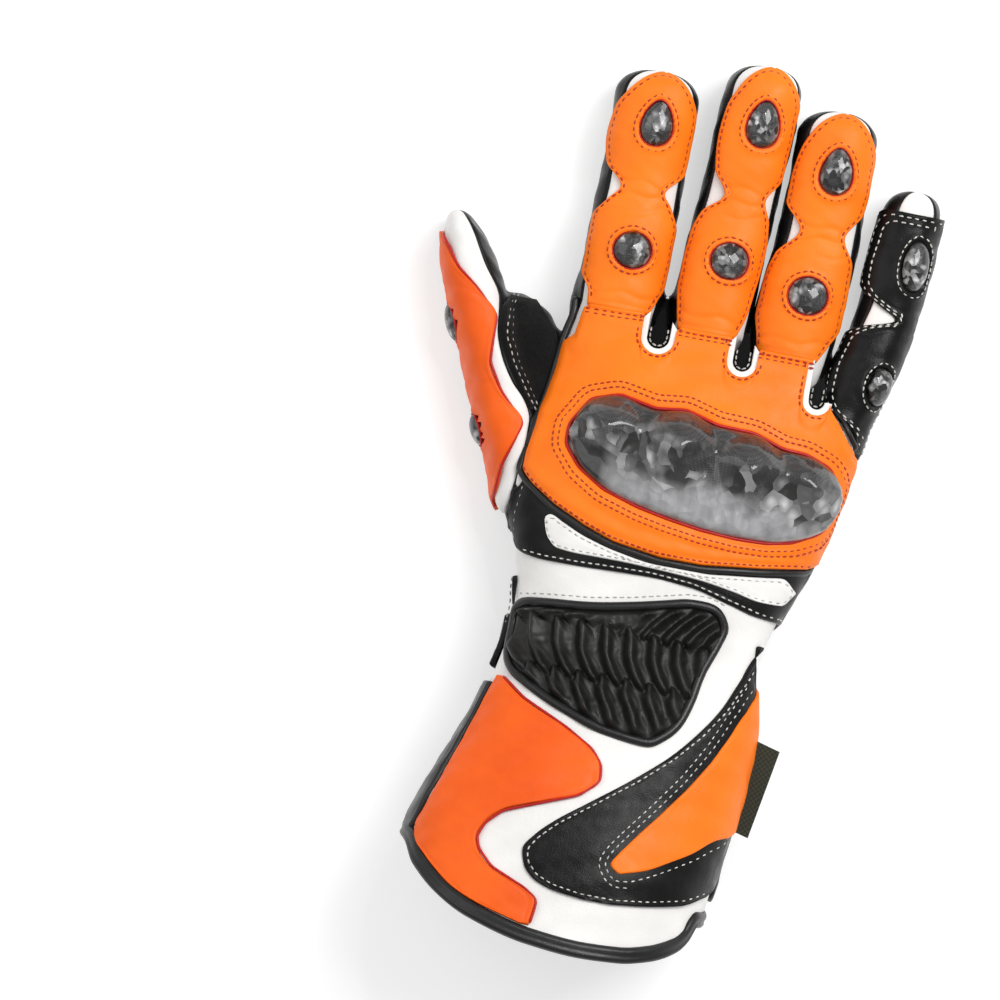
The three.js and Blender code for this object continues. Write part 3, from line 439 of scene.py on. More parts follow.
def on_tube(tube, y, turn):
    """Points of a tube at y and a turn in degrees from its top to the little finger's side: the
    section is a superellipse, drawn in over the round root and tip."""
    mid_x, half_x, mid_z, half_z = section(tube, y)
    keep = drawn_in(tube, y)
    turn = np.radians(turn)
    across, up = np.sin(turn), np.cos(turn)
    power = 2 / np.where(up > 0, ROUND_TOP, ROUND_LOW)
    x = mid_x + keep * half_x * np.sign(across) * np.abs(across) ** power
    z = mid_z + keep * half_z * np.sign(up) * np.abs(up) ** power
    return np.stack([x, np.broadcast_to(y, x.shape), z], -1)


def turn_at(tube, y, x, palm=False):
    """Turn of the point over x on a tube's back or palm. Past the steep side x counts on, a
    millimetre of it being a millimetre down the side."""
    mid_x, half_x, _, half_z = section(tube, y)
    half_x = half_x * drawn_in(tube, y)
    power = ROUND_LOW if palm else ROUND_TOP
    share = np.abs(x - mid_x) / half_x
    inside = np.minimum(share, SIDE_SHARE)
    turn = np.degrees(np.arcsin(inside ** (power / 2)))
    turn = turn + np.maximum(0, share - SIDE_SHARE) * half_x * SIDE_TURN / half_z
    turn = np.sign(x - mid_x) * turn
    return 180 - turn if palm else turn


def side_x(tube, y, z, side, palm=False):
    """The x, counted on down the side, at which a tube's side reaches the height z."""
    mid_x, half_x, mid_z, half_z = section(tube, y)
    level = np.clip((z - mid_z) / half_z, -0.99, 0.99)
    if palm:
        level = -level
    powers = (ROUND_LOW, ROUND_TOP) if palm else (ROUND_TOP, ROUND_LOW)
    power = np.where(level > 0, *powers)
    turn = np.degrees(np.arccos(np.sign(level) * np.abs(level) ** (power / 2)))
    start = np.degrees(np.arcsin(SIDE_SHARE ** (powers[0] / 2)))
    return mid_x + side * (half_x * SIDE_SHARE + (turn - start) * half_z / SIDE_TURN)


def tube_gap(tube, points):
    """Rough distance outside a tube: its gauge, which is 1 on the face, less 1, over its slope."""
    y = points[..., 1]
    mid_x, half_x, mid_z, half_z = section(tube, y)
    over, ball = past_ends(tube, y)
    across = np.abs(points[..., 0] - mid_x) / half_x + 1e-6
    up = np.abs(points[..., 2] - mid_z) / half_z + 1e-6
    power = np.where(points[..., 2] > mid_z, ROUND_TOP, ROUND_LOW)
    gauge = (across ** power + up ** power) ** (1 / power)
    slope = np.hypot((across / gauge) ** (power - 1) / half_x, (up / gauge) ** (power - 1) / half_z)
    whole = (gauge ** ROUND_CAP + over ** ROUND_CAP) ** (1 / ROUND_CAP)
    rise = ROUND_CAP - 1
    slope = np.hypot((gauge / whole) ** rise * slope, (over / whole) ** rise / ball)
    return (whole - 1) / slope


def soft_min(a, b, reach):
    """The lower of two values, rounded where they are within a reach of each other."""
    mix = np.clip(0.5 + 0.5 * (b - a) / reach, 0, 1)
    return b + (a - b) * mix - reach * mix * (1 - mix)


def web_end(x, z):
    """y at which the hand ends between the fingers: further out at the palm than at the back."""
    palm, back = np.moveaxis(through(FINGER_WEBS, x), -1, 0)
    return back + (palm - back) * eased(np.clip((24 - z) / 12, 0, 1))


def web_gap(points):
    """Distance past the slope at which the hand ends between the fingers."""
    return 0.6 * (points[..., 1] - web_end(points[..., 0], points[..., 2]))


def gap(points, parted=True):
    """Distance outside the leather's face: soft union of body, fingers, thumb and web, flat below. The
    hand ends between the fingers, unless they aren't to be parted."""
    low, high = points.reshape(-1, 3).min(0) - 12, points.reshape(-1, 3).max(0) + 12

    def near(tube):
        rows = TUBES[tube][0]
        inside_y = rows[0, 0] < high[1] and rows[-1, 0] > low[1]
        return inside_y and rows[:, 1].min() < high[0] and rows[:, 2].max() > low[0]

    face = np.full(points.shape[:-1], 50.0)
    if near("body"):
        face = tube_gap("body", points)
        if high[1] > 20 and parted:
            face = -soft_min(-face, -web_gap(points), 3)
    for finger in FINGERS:
        if near(finger):
            face = soft_min(face, tube_gap(finger, points), 3.5)
    for tube in ("thumb", "web"):
        if near(tube):
            face = soft_min(face, tube_gap(tube, points), 4)
    return -soft_min(-face, points[..., 2] - LIFT, 1.5)


def slope_of(points, here, parted):
    """Gradient of the gap, from small steps along each axis."""
    step = 0.05
    return np.stack([(gap(points + move, parted) - here) / step for move in np.eye(3) * step], -1)


def settle(points, way="normal"):
    """Points moved onto the leather's face, and its outward normals. Points deep inside another
    tube stay where they are, unless they are let down from above, or over the gaps between fingers."""
    start = points
    parted = way != "over"
    depth = gap(points, parted)
    for _ in range(3):
        here = gap(points, parted)
        slope = slope_of(points, here, parted)
        if way != "normal":
            move = np.zeros_like(points)
            move[..., 2] = here / np.maximum(slope[..., 2], 0.3)
        else:
            move = slope * (here / np.maximum((slope ** 2).sum(-1), 0.2))[..., None]
        points = points - move
    if way == "normal":
        keep = np.clip((depth + 3) / 1.5, 0, 1)[..., None]
        points = start + (points - start) * keep
    slope = slope_of(points, gap(points, parted), parted)
    return points, slope / np.linalg.norm(slope, axis=-1, keepdims=True)


draws = np.random.default_rng(11)
WAVES = [
    (draws.normal(size=3) * 2 * np.pi / length, draws.uniform(0, 6.28), size)
    for length, size in ((46, 0.2), (31, 0.16), (22, 0.13), (15, 0.08), (11, 0.05), (8, 0.03))
]


def uneven(points):
    """Soft unevenness of sewn leather, within about 0.4 mm: a sum of waves in several directions."""
    return sum(size * np.sin(points @ wave + phase) for wave, phase, size in WAVES)


def edge_distance(points, around=False, open_ends=(False, False)):
    """Distance of each grid point from the nearest border of the grid, along the grid's lines. A grid
    that goes round has no sides, and an open end doesn't count."""
    def both_ways(axis):
        steps = np.linalg.norm(np.diff(points, axis=axis), axis=2)
        run = np.cumsum(steps, axis=axis)
        run = np.concatenate([np.zeros_like(np.take(run, [0], axis=axis)), run], axis=axis)
        return run, np.take(run, [-1], axis=axis) - run

    edge = np.full(points.shape[:2], 99.0) if around else np.minimum(*both_ways(1))
    for distance, is_open in zip(both_ways(0), open_ends):
        if not is_open:
            edge = np.minimum(edge, distance)
    return edge


def rolled(distance, radius):
    """Height share of a rolled edge: a quarter circle that rises over its radius."""
    return np.sqrt(np.maximum(0, 1 - (1 - np.clip(distance / radius, 0, 1)) ** 2))


# Meshes

def grid_faces(rows, columns, around=False):
    """Quads of a grid of points, closed round its rows where it goes round."""
    i, j = np.meshgrid(np.arange(rows - 1), np.arange(columns - (not around)), indexing="ij")
    k = (j + 1) % columns
    quads = np.stack([i * columns + j, i * columns + k, (i + 1) * columns + k, (i + 1) * columns + j], -1)
    return quads.reshape(-1, 4)


def between_grids(outer, inner, around=False):
    """A closed solid between two grids of the same size: both faces, and a rim along the borders."""
    rows, columns = outer.shape[:2]
    count = rows * columns
    face = grid_faces(rows, columns, around)
    ids = np.arange(count).reshape(rows, columns)
    if around:
        loops = [ids[0], ids[-1][::-1]]
    else:
        loops = [np.concatenate([ids[0], ids[1:, -1], ids[-1, :-1][::-1], ids[1:-1, 0][::-1]])]
    rims = []
    for loop in loops:
        ahead = np.roll(loop, -1)
        rims.append(np.stack([ahead, loop, loop + count, ahead + count], -1))
    points = np.concatenate([outer.reshape(-1, 3), inner.reshape(-1, 3)])
    return points, np.concatenate([face, face[:, ::-1] + count, *rims])


def grown(base, normal, outer, inner, around=False):
    """A closed solid over a grid on the leather's face, from one height to another."""
    high = base + normal * np.broadcast_to(outer, base.shape[:2])[..., None]
    low = base + normal * np.broadcast_to(inner, base.shape[:2])[..., None]
    return between_grids(high, low, around)


def welded(points, faces):
    """Points in one place made one, faces without an area dropped, and all of them facing out."""
    _, first, back = np.unique(np.round(points * 2000).astype(np.int64), axis=0,
                               return_index=True, return_inverse=True)
    points, faces = points[first], back.reshape(-1)[faces]
    corner = points[faces]
    volume = np.einsum("ij,ij->i", corner[:, 0], np.cross(corner[:, 1], corner[:, 2])).sum()
    volume += np.einsum("ij,ij->i", corner[:, 0], np.cross(corner[:, 2], corner[:, 3])).sum()
    if volume < 0:
        faces = faces[:, ::-1]
    same = faces == np.roll(faces, -1, axis=1)
    plain = faces[~same.any(1)].tolist()
    loops = [[v for v, s in zip(face, drop) if not s]
             for face, drop in zip(faces[same.any(1)], same[same.any(1)])]
    return points, plain + [loop for loop in loops if len(set(loop)) > 2]


def as_piece(mesh, material, nodes):
    """One object from a mesh, with the mesh's name, riding on the part's body."""
    mesh.materials.append(material)
    piece = bpy.data.objects.new(mesh.name, mesh)
    bpy.context.scene.collection.objects.link(piece)
    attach(piece, "root")
    if nodes:
        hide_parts(*nodes)
    return piece


def add_piece(name, solids, material, nodes=(), sharp=50):
    """One object from closed solids in glove millimetres. It is smooth but for edges sharper than an
    angle, and nothing of it lies below the floor."""
    points, faces, start = [], [], 0
    for solid in solids:
        some, loops = welded(*solid)
        points.append(some)
        faces.extend([[v + start for v in loop] for loop in loops])
        start += len(some)
    points = np.concatenate(points) + SHIFT
    points[:, 2] = np.maximum(points[:, 2], 0)
    mesh = bpy.data.meshes.new(name)
    mesh.from_pydata((points * MM).tolist(), [], faces)
    mesh.validate()
    mesh.polygons.foreach_set("use_smooth", np.ones(len(mesh.polygons), bool))
    mesh.set_sharp_from_angle(angle=math.radians(sharp))
    return as_piece(mesh, material, nodes)


def tube_along(path, normal, across, up, closed=False, lift=0.0, sides=12):
    """A closed cord along a path: an ellipse carried along it, drawn in to a point at open ends."""
    ahead = np.roll(path, -1, axis=0) - np.roll(path, 1, axis=0)
    if not closed:
        ahead[0], ahead[-1] = path[1] - path[0], path[-1] - path[-2]
    ahead = ahead / np.linalg.norm(ahead, axis=1, keepdims=True)
    side = np.cross(ahead, normal)
    side = side / np.linalg.norm(side, axis=1, keepdims=True)
    turn = np.linspace(0, 2 * np.pi, sides, endpoint=False)
    size = np.ones(len(path))
    if not closed:
        run = np.concatenate([[0], np.cumsum(np.linalg.norm(np.diff(path, axis=0), axis=1))])
        size = rolled(np.minimum(run, run[-1] - run), up)
    centre = (path + normal * lift)[:, None]
    turn = turn[None, :, None]
    ring = centre + size[:, None, None] * (
        across * np.cos(turn) * side[:, None] + up * np.sin(turn) * normal[:, None])
    faces = grid_faces(len(path) + closed, sides, around=True)
    if closed:
        faces = faces % (len(path) * sides)
    return ring.reshape(-1, 3), faces


# Panels and lines on the glove

def unrolled(tube, table, low, palm):
    """A table of rows of y, left, right with its wrapping edges set to the side's height low."""
    table = np.array(table, float)
    for side in (-1, 1):
        for column_at in (1, 2):
            wraps = table[:, column_at] == side * WRAP
            table[wraps, column_at] = side_x(tube, table[wraps, 0], low, side, palm)
    return table


def strip_grid(table, ends, spacing, inset):
    """Places along a panel and across it, from its lower to its higher edge, as a grid. The corners at
    its two ends are rounded by the radii in ends, and the whole panel may be drawn in by an inset."""
    first, last = table[0, 0] + inset, table[-1, 0] - inset
    along = first + (last - first) * spread(last - first, spacing)
    low, high = through(table, along).T
    low, high = low + inset, high - inset
    for distance, radius in ((along - first, ends[0]), (last - along, ends[1])):
        if radius:
            draw = np.minimum(radius, (high - low) / 2)
            inside = np.clip(1 - distance / radius, 0, 1)
            shift = draw * (1 - np.sqrt(np.maximum(0, 1 - inside ** 2)))
            low, high = low + shift, high - shift
    across = low[:, None] + (high - low)[:, None] * spread(float(np.median(high - low)), spacing)
    return np.broadcast_to(along[:, None], across.shape), across


def rows_grid(tube, table, low=20, palm=False, ends=(0, 0), spacing=0.8, inset=0.0):
    """Grid of x and y over a panel whose table has rows of y, left, right."""
    y, x = strip_grid(unrolled(tube, table, low, palm), ends, spacing, inset)
    return x, y


def columns_grid(tube, table, low=20, palm=False, ends=(0, 0), spacing=0.8, inset=0.0):
    """Grid of x and y over a panel whose table has columns of x, lower, upper."""
    table = np.array(table, float)
    middle = table[:, 1:].mean(1)
    for at in (0, -1):
        if abs(table[at, 0]) == WRAP:
            table[at, 0] = side_x(tube, middle[at], low, np.sign(table[at, 0]), palm)
    return strip_grid(table, ends, spacing, inset)


def rim_of(grid):
    """Closed outline of a grid of x and y."""
    points = np.stack(grid, -1)
    return np.concatenate([points[0], points[1:, -1], points[-1, :-1][::-1], points[1:-1, 0][::-1]])


def looped(line):
    """A closed outline as a line that ends where it starts."""
    return np.vstack([line, line[:1]])


def edge_line(table, column_at, inset=0.0):
    """One edge of a panel of rows as a line of x and y, moved across by an inset."""
    table = np.array(table, float)
    return np.stack([table[:, column_at] + inset, table[:, 0]], -1)


def fan_grid(outline, centre):
    """Grid from a panel's outline in to a centre point."""
    outline = dense(outline, 180, closed=True, soften=1.5)
    reach = float(np.median(np.linalg.norm(outline - centre, axis=1)))
    inward = spread(2 * reach, 1.2)
    inward = inward[inward <= 0.5] * 2
    grid = outline[None] + (np.array(centre, float) - outline)[None] * inward[:, None, None]
    return grid[..., 0], grid[..., 1]


def ring_grid(first, last, spacing):
    """Grid of x and y between two lines of as many points."""
    width = float(np.median(np.linalg.norm(last - first, axis=1)))
    ring = first[None] + (last - first)[None] * spread(width, spacing)[:, None, None]
    return ring[..., 0], ring[..., 1]


def placed(tube, grid, palm=False, way="normal"):
    """Grid points on the leather's face, with normals, for a grid of x and y."""
    x, y = grid
    return settle(on_tube(tube, y, turn_at(tube, y, x, palm)), way)


def panel(tube, grid, height=PANEL, under=0.25, roll=1.1, palm=False, way="normal", around=False,
          open_ends=(False, False), groove=1.9, extra=None):
    """A sewn panel: a rolled edge, a shallow groove where its stitches draw it down, and a full
    middle that is a little uneven."""
    base, normal = placed(tube, grid, palm, way)
    edge = edge_distance(base, around, open_ends)
    top = under + (height - under) * rolled(edge, roll)
    if groove:
        top = top - GROOVE_DEPTH * np.exp(-((edge - groove) / 0.55) ** 2)
    top = top + uneven(base) * np.clip(edge / 2, 0, 1)
    if extra is not None:
        top = top + extra(grid[0], grid[1], edge, base)
    return grown(base, normal, top, under - 0.2, around)


threads = {"white": [], "faint": [], "red": [], "orange": []}


def stitches(kind, tube, line, height=PANEL, palm=False, way="normal", pitch=PITCH, keep=None):
    """Stitches along a line of x and y: each a small capsule lying along it on a panel's face."""
    line = np.asarray(line, float)
    centres = dense(line, max(2, int(round(line_length(line) / pitch))))
    if keep is not None:
        centres = centres[keep(centres[:, 0], centres[:, 1])]
    if len(centres) > 1:
        sewn(kind, *placed(tube, (centres[:, 0], centres[:, 1]), palm, way), height)


def sewn(kind, base, normal, height):
    """Stitches kept for a kind, at places on the leather's face and a height over it."""
    base = base + normal * (height + uneven(base) - STITCH_SINK)[:, None]
    ahead = np.gradient(base, axis=0)
    threads[kind].append((base, ahead / np.linalg.norm(ahead, axis=1, keepdims=True), normal))


def stitch_solids(kind):
    """All stitches of a kind as one mesh: a round-ended capsule of five sides, set along each."""
    base, ahead, normal = (np.concatenate(part) for part in zip(*threads[kind]))
    width, thick = (0.4, 0.42) if kind == "red" else (0.3, 0.32)
    side = np.cross(ahead, normal)
    run = np.radians([-90, -50, 0, 50, 90])
    turn = np.linspace(0, 2 * np.pi, STITCH_SIDES, endpoint=False)
    along = STITCH / 2 * np.sin(run)[:, None] * np.ones(STITCH_SIDES)
    full = np.cos(run)[:, None] ** 0.6
    shape = np.stack([along, width * full * np.cos(turn), thick * full * np.sin(turn)], -1).reshape(-1, 3)
    points = base[:, None] + (
        shape[None, :, 0:1] * ahead[:, None] + shape[None, :, 1:2] * side[:, None]
        + shape[None, :, 2:3] * normal[:, None])
    faces = grid_faces(len(run), STITCH_SIDES, around=True)
    offsets = np.arange(len(base))[:, None, None] * len(shape)
    return points.reshape(-1, 3), (faces[None] + offsets).reshape(-1, 4)


def cording(tube, line, radius=1.1, height=0.6, closed=False, way="normal", soften=0.0, flat=1.0):
    """Piping laid along a line of x and y."""
    line = np.asarray(line, float)
    line = dense(line, max(8, int(line_length(line) / 0.9)), closed, soften)
    base, normal = placed(tube, (line[:, 0], line[:, 1]), way=way)
    return tube_along(base, normal, radius, radius * flat, closed, lift=height)


# Materials

def new_material(name):
    """A material with its node tree and its shader node."""
    material = bpy.data.materials.new(name)
    material.use_nodes = True
    tree = material.node_tree
    return material, tree, tree.nodes["Principled BSDF"]


def add_node(tree, kind, inputs=None, **settings):
    """A node with its settings, and its inputs linked to sockets or set to values."""
    made = tree.nodes.new(kind)
    for key, value in settings.items():
        setattr(made, key, value)
    for key, value in (inputs or {}).items():
        if isinstance(value, bpy.types.NodeSocket):
            tree.links.new(value, made.inputs[key])
        else:
            made.inputs[key].default_value = value
    return made


def object_place(tree, scale=(1, 1, 1), turn=0.0):
    """Place on the object in metres, stretched and turned about the vertical."""
    place = add_node(tree, "ShaderNodeTexCoord")
    return add_node(tree, "ShaderNodeMapping", {
        "Vector": place.outputs["Object"], "Scale": scale, "Rotation": (0, 0, turn)}).outputs["Vector"]


def noise(tree, place, scale, detail=3.0, roughness=0.5):
    """A noise value from 0 to 1."""
    return add_node(tree, "ShaderNodeTexNoise", {
        "Vector": place, "Scale": scale, "Detail": detail, "Roughness": roughness}).outputs["Fac"]


def ramp(tree, value, low, high, stops=(0.3, 0.7)):
    """A colour that goes from low to high between two stops of a value."""
    made = add_node(tree, "ShaderNodeValToRGB", {"Fac": value})
    for element, stop, colour in zip(made.color_ramp.elements, stops, (low, high)):
        element.position = stop
        element.color = (*colour, 1)
    return made.outputs["Color"]


def range_of(tree, value, low, high, first=0.0, last=1.0):
    """A value carried from the range first to last over to the range low to high."""
    return add_node(tree, "ShaderNodeMapRange", {
        "Value": value, "From Min": first, "From Max": last, "To Min": low, "To Max": high}).outputs["Result"]


def sum_of(tree, first, second):
    """The sum of two values."""
    return add_node(tree, "ShaderNodeMath", {0: first, 1: second}, operation="ADD").outputs[0]


def times(tree, first, second):
    """The product of two values."""
    return add_node(tree, "ShaderNodeMath", {0: first, 1: second}, operation="MULTIPLY").outputs[0]


def mixed_colour(tree, share, first, second):
    """One colour gone over into another by a share."""
    return add_node(tree, "ShaderNodeMix", {0: share, 6: first, 7: second}, data_type="RGBA").outputs[2]


def leather(name, dark, light, roughness, gloss=0.3, grain=0.25, folds=0.35):
    """Smooth finished leather: fine pebble grain, soft folds, a colour that drifts a little, and a
    roughness that changes in patches."""
    material, tree, shader = new_material(name)
    place = object_place(tree)
    drift = noise(tree, place, 38, 4)
    tree.links.new(ramp(tree, drift, dark, light, (0.3, 0.72)), shader.inputs["Base Color"])
    cells = add_node(tree, "ShaderNodeTexVoronoi", {"Vector": place, "Scale": 1300.0},
                     feature="DISTANCE_TO_EDGE").outputs["Distance"]
    pebble = range_of(tree, cells, 0, 1, 0, 0.22)
    fold = noise(tree, object_place(tree, (1, 0.45, 1), 0.5), 170, 3)
    patches = noise(tree, place, 240, 3)
    tree.links.new(range_of(tree, patches, *roughness, 0.3, 0.7), shader.inputs["Roughness"])
    soft = add_node(tree, "ShaderNodeBump", {"Strength": folds, "Distance": 0.0006, "Height": fold})
    fine = add_node(tree, "ShaderNodeBump", {
        "Strength": grain, "Distance": 0.0001, "Height": pebble, "Normal": soft.outputs["Normal"]})
    tree.links.new(fine.outputs["Normal"], shader.inputs["Normal"])
    shader.inputs["Specular IOR Level"].default_value = gloss
    return material


def napped(name, dark, light, scale=900.0):
    """Suede or brushed loop cloth: a dark nap whose lie changes in patches, rough and soft."""
    material, tree, shader = new_material(name)
    place = object_place(tree)
    nap = noise(tree, place, scale, 4, 0.7)
    mixed = times(tree, nap, noise(tree, place, 55, 3))
    tree.links.new(ramp(tree, mixed, dark, light, (0.15, 0.42)), shader.inputs["Base Color"])
    bump = add_node(tree, "ShaderNodeBump", {"Strength": 0.7, "Distance": 0.0004, "Height": nap})
    tree.links.new(bump.outputs["Normal"], shader.inputs["Normal"])
    shader.inputs["Roughness"].default_value = 0.95
    shader.inputs["Specular IOR Level"].default_value = 0.15
    shader.inputs["Sheen Weight"].default_value = 0.12
    return material


def woven(name, dark, light, size, roughness):
    """Cloth: threads of a size that cross at right angles and pass over and under in turn."""
    material, tree, shader = new_material(name)
    place = object_place(tree, turn=math.radians(45))
    check = add_node(tree, "ShaderNodeTexChecker", {"Vector": place, "Scale": 1 / size}).outputs["Fac"]
    bands = [
        add_node(tree, "ShaderNodeTexWave", {"Vector": place, "Scale": 0.157 / size},
                 wave_type="BANDS", bands_direction=direction).outputs["Fac"]
        for direction in ("X", "Y")]
    mixed = add_node(tree, "ShaderNodeMix", {0: check, 2: bands[0], 3: bands[1]}).outputs[0]
    tree.links.new(ramp(tree, mixed, dark, light, (0.1, 0.95)), shader.inputs["Base Color"])
    bump = add_node(tree, "ShaderNodeBump", {"Strength": 0.6, "Distance": size * 0.2, "Height": mixed})
    tree.links.new(bump.outputs["Normal"], shader.inputs["Normal"])
    shader.inputs["Roughness"].default_value = roughness
    return material


def thread_material(name, colour):
    """Waxed thread, twisted: darker lines across it."""
    material, tree, shader = new_material(name)
    twist = add_node(tree, "ShaderNodeTexWave", {"Vector": object_place(tree), "Scale": 380.0},
                     bands_direction="DIAGONAL").outputs["Fac"]
    shade = tuple(c * 0.62 for c in colour)
    tree.links.new(ramp(tree, twist, shade, colour, (0.2, 0.7)), shader.inputs["Base Color"])
    shader.inputs["Roughness"].default_value = 0.6
    return material


def painted_reflection_cells(tree, place, facet):
    """Colour of painted reflections in clear plastic, which are cells that are light or dark at random and
    darker at their edges, and the distance from each cell's middle."""
    bent = add_node(tree, "ShaderNodeTexNoise", {"Vector": place, "Scale": 0.4 / facet, "Detail": 2.0})
    shifted = add_node(tree, "ShaderNodeMix", {0: 0.0045, 4: place, 5: bent.outputs["Color"]},
                       data_type="VECTOR").outputs[1]
    cells = add_node(tree, "ShaderNodeTexVoronoi", {"Vector": shifted, "Scale": 1 / facet})
    grey = add_node(tree, "ShaderNodeSeparateColor", {"Color": cells.outputs["Color"]}).outputs["Red"]
    painted_reflection = ramp(tree, grey, (0.006, 0.006, 0.005), (0.75, 0.75, 0.75), (0.32, 0.98))
    inner = range_of(tree, cells.outputs["Distance"], 0.35, 1.0, 0.55, 0.05)
    painted_reflection = add_node(tree, "ShaderNodeVectorMath", {0: painted_reflection, 1: inner}, operation="MULTIPLY").outputs[0]
    return painted_reflection, cells.outputs["Distance"]


def glazed(name, tow, facet, share, painted_haze_from=None):
    """Smoked clear plastic over a carbon weave: below a smooth clear coat lie fine crossing tows and
    painted reflections, light and dark cells in the base colour. On the guard the part below a line is a
    pale streaked grey of painted reflected light, and the corner towards the thumb is black."""
    material, tree, shader = new_material(name)
    place = object_place(tree)
    turned = object_place(tree, turn=math.radians(38))
    check = add_node(tree, "ShaderNodeTexChecker", {"Vector": turned, "Scale": 1 / tow}).outputs["Fac"]
    shade = noise(tree, place, 110, 4)
    weave = times(tree, range_of(tree, check, 0.5, 1), shade)
    colour = ramp(tree, weave, (0.003, 0.003, 0.003), (0.062, 0.062, 0.063), (0.12, 0.66))
    # Painted reflections: light and dark cells mixed into the base colour in patches, up to a share
    painted_reflection, distance = painted_reflection_cells(tree, place, facet)
    amount = range_of(tree, noise(tree, place, 0.3 / facet, 2), 0, share, 0.44, 0.58)
    if painted_haze_from is None:
        colour = mixed_colour(tree, amount, colour, painted_reflection)
    else:
        axes = add_node(tree, "ShaderNodeSeparateXYZ", {"Vector": place})
        level = sum_of(tree, axes.outputs["Y"], times(tree, axes.outputs["X"], 0.13))
        wavy = sum_of(tree, level, times(tree, shade, 0.012))
        # Painted reflected light: below a slanted, wavy line the guard turns a pale streaked grey, and its
        # painted reflections stay in a band about that line
        streaks = noise(tree, object_place(tree, (1, 0.3, 1), -0.6), 260, 4)
        painted_haze = ramp(tree, streaks, (0.2, 0.2, 0.205), (0.4, 0.4, 0.41), (0.25, 0.8))
        low = range_of(tree, wavy, 0.9, 0, painted_haze_from + 0.003, painted_haze_from + 0.009)
        colour = mixed_colour(tree, low, colour, painted_haze)
        amount = times(tree, amount, range_of(tree, level, 0, 1, painted_haze_from - 0.009, painted_haze_from - 0.002))
        amount = times(tree, amount, range_of(tree, level, 1, 0, painted_haze_from + 0.008, painted_haze_from + 0.014))
        colour = mixed_colour(tree, amount, colour, painted_reflection)
        beside_thumb = range_of(tree, axes.outputs["X"], 1, 0, -0.0155, -0.011)
        beneath = range_of(tree, wavy, 1, 0, 0.0185, 0.0215)
        colour = mixed_colour(tree, times(tree, beside_thumb, beneath), colour, (0.004, 0.004, 0.004, 1))
    tree.links.new(colour, shader.inputs["Base Color"])
    bump = add_node(tree, "ShaderNodeBump", {"Strength": 0.5, "Distance": facet * 0.4, "Height": distance})
    tree.links.new(bump.outputs["Normal"], shader.inputs["Normal"])
    shader.inputs["Roughness"].default_value = 0.4
    shader.inputs["Specular IOR Level"].default_value = 0.3
    shader.inputs["Coat Weight"].default_value = 0.9
    shader.inputs["Coat Roughness"].default_value = 0.03
    return material


SATIN = (0.4, 0.55)
WHITE = leather("white_leather_finish", (0.72, 0.71, 0.69), (0.84, 0.83, 0.81), SATIN)
ORANGE = leather("orange_leather_finish", (0.88, 0.165, 0.004), (1.0, 0.205, 0.007), SATIN, 0.25)
# A darker copy of the orange leather for the panels on the glove's left side, which turn away from the light:
# partly a deeper dye, partly painted shade
DEEP_DYE_AND_SHADE_ORANGE = leather("orange_leather_deep_dye_and_painted_shade", (0.74, 0.085, 0.003), (0.9, 0.125, 0.004), SATIN, 0.25)
BLACK = leather("black_leather_finish", (0.0035, 0.0035, 0.004), (0.009, 0.009, 0.0095), (0.27, 0.4), 0.16)
PADDED_BLACK = leather(
    "padded_leather_finish", (0.0035, 0.0035, 0.003), (0.009, 0.009, 0.008), (0.42, 0.58), 0.4, 0.2, 0.4)
# The gussets' leather, darker and duller than the other black leather: its own black with painted shade in
# the gaps between the fingers
GUSSET_BLACK_AND_SHADE = leather("gusset_black_with_painted_shade", (0.001, 0.001, 0.001), (0.003, 0.003, 0.003), (0.5, 0.62), 0.08)
BINDING = leather("binding_finish", (0.004, 0.004, 0.004), (0.01, 0.01, 0.01), (0.3, 0.42), 0.4, 0.2, 0.3)
RED_EDGE = leather("red_edge_finish", (0.36, 0.008, 0.008), (0.5, 0.014, 0.012), (0.3, 0.45), 0.3, 0.2, 0.2)
SUEDE = napped("suede_finish", (0.002, 0.002, 0.002), (0.009, 0.009, 0.009))
LOOP = napped("loop_cloth_finish", (0.003, 0.003, 0.003), (0.02, 0.02, 0.02), 1500.0)
LINING = woven("lining_finish", (0.006, 0.006, 0.006), (0.02, 0.02, 0.021), 0.0011, 0.9)
TAG = woven("tag_finish", (0.006, 0.006, 0.004), (0.03, 0.032, 0.012), 0.0006, 0.8)
# Both glazes paint reflections into their base colour; the guard's also paints pale reflected light over its
# lower part
GUARD_GLAZE = glazed("knuckle_guard_finish", 0.0006, 0.0044, 0.9, painted_haze_from=0.0135)
DOME_GLAZE = glazed("dome_finish", 0.0005, 0.0021, 0.95)


# Shell of the hand, fingers and thumb

def leather_solid(base, normal, open_ends, dip=SEAM_DIP):
    """The leather's wall over a grid on its face, drawn down into a groove along its seams."""
    edge = edge_distance(base, open_ends=open_ends)
    top = -dip * (1 - rolled(edge, 1.1)) + uneven(base) * np.clip(edge / 3, 0, 1)
    return grown(base, normal, top, -WALL)


def seam_turn(tube, y, z, side):
    """Turn at which a tube's side reaches a height."""
    _, _, mid_z, half_z = section(tube, y)
    level = np.clip((z - mid_z) / half_z, -0.98, 0.98)
    power = np.where(level > 0, ROUND_TOP, ROUND_LOW)
    return side * np.degrees(np.arccos(np.sign(level) * np.abs(level) ** (power / 2)))


def along_tube(tube, first):
    """Values of y from a start to the tip, close together over the round tip."""
    rows, _, tip = TUBES[tube]
    end = rows[-1, 0] - tip
    run = np.linspace(first, end, int((end - first) / 1.25))
    return np.concatenate([run, end + tip * np.sin(np.radians(np.linspace(4, 90, 18)))])


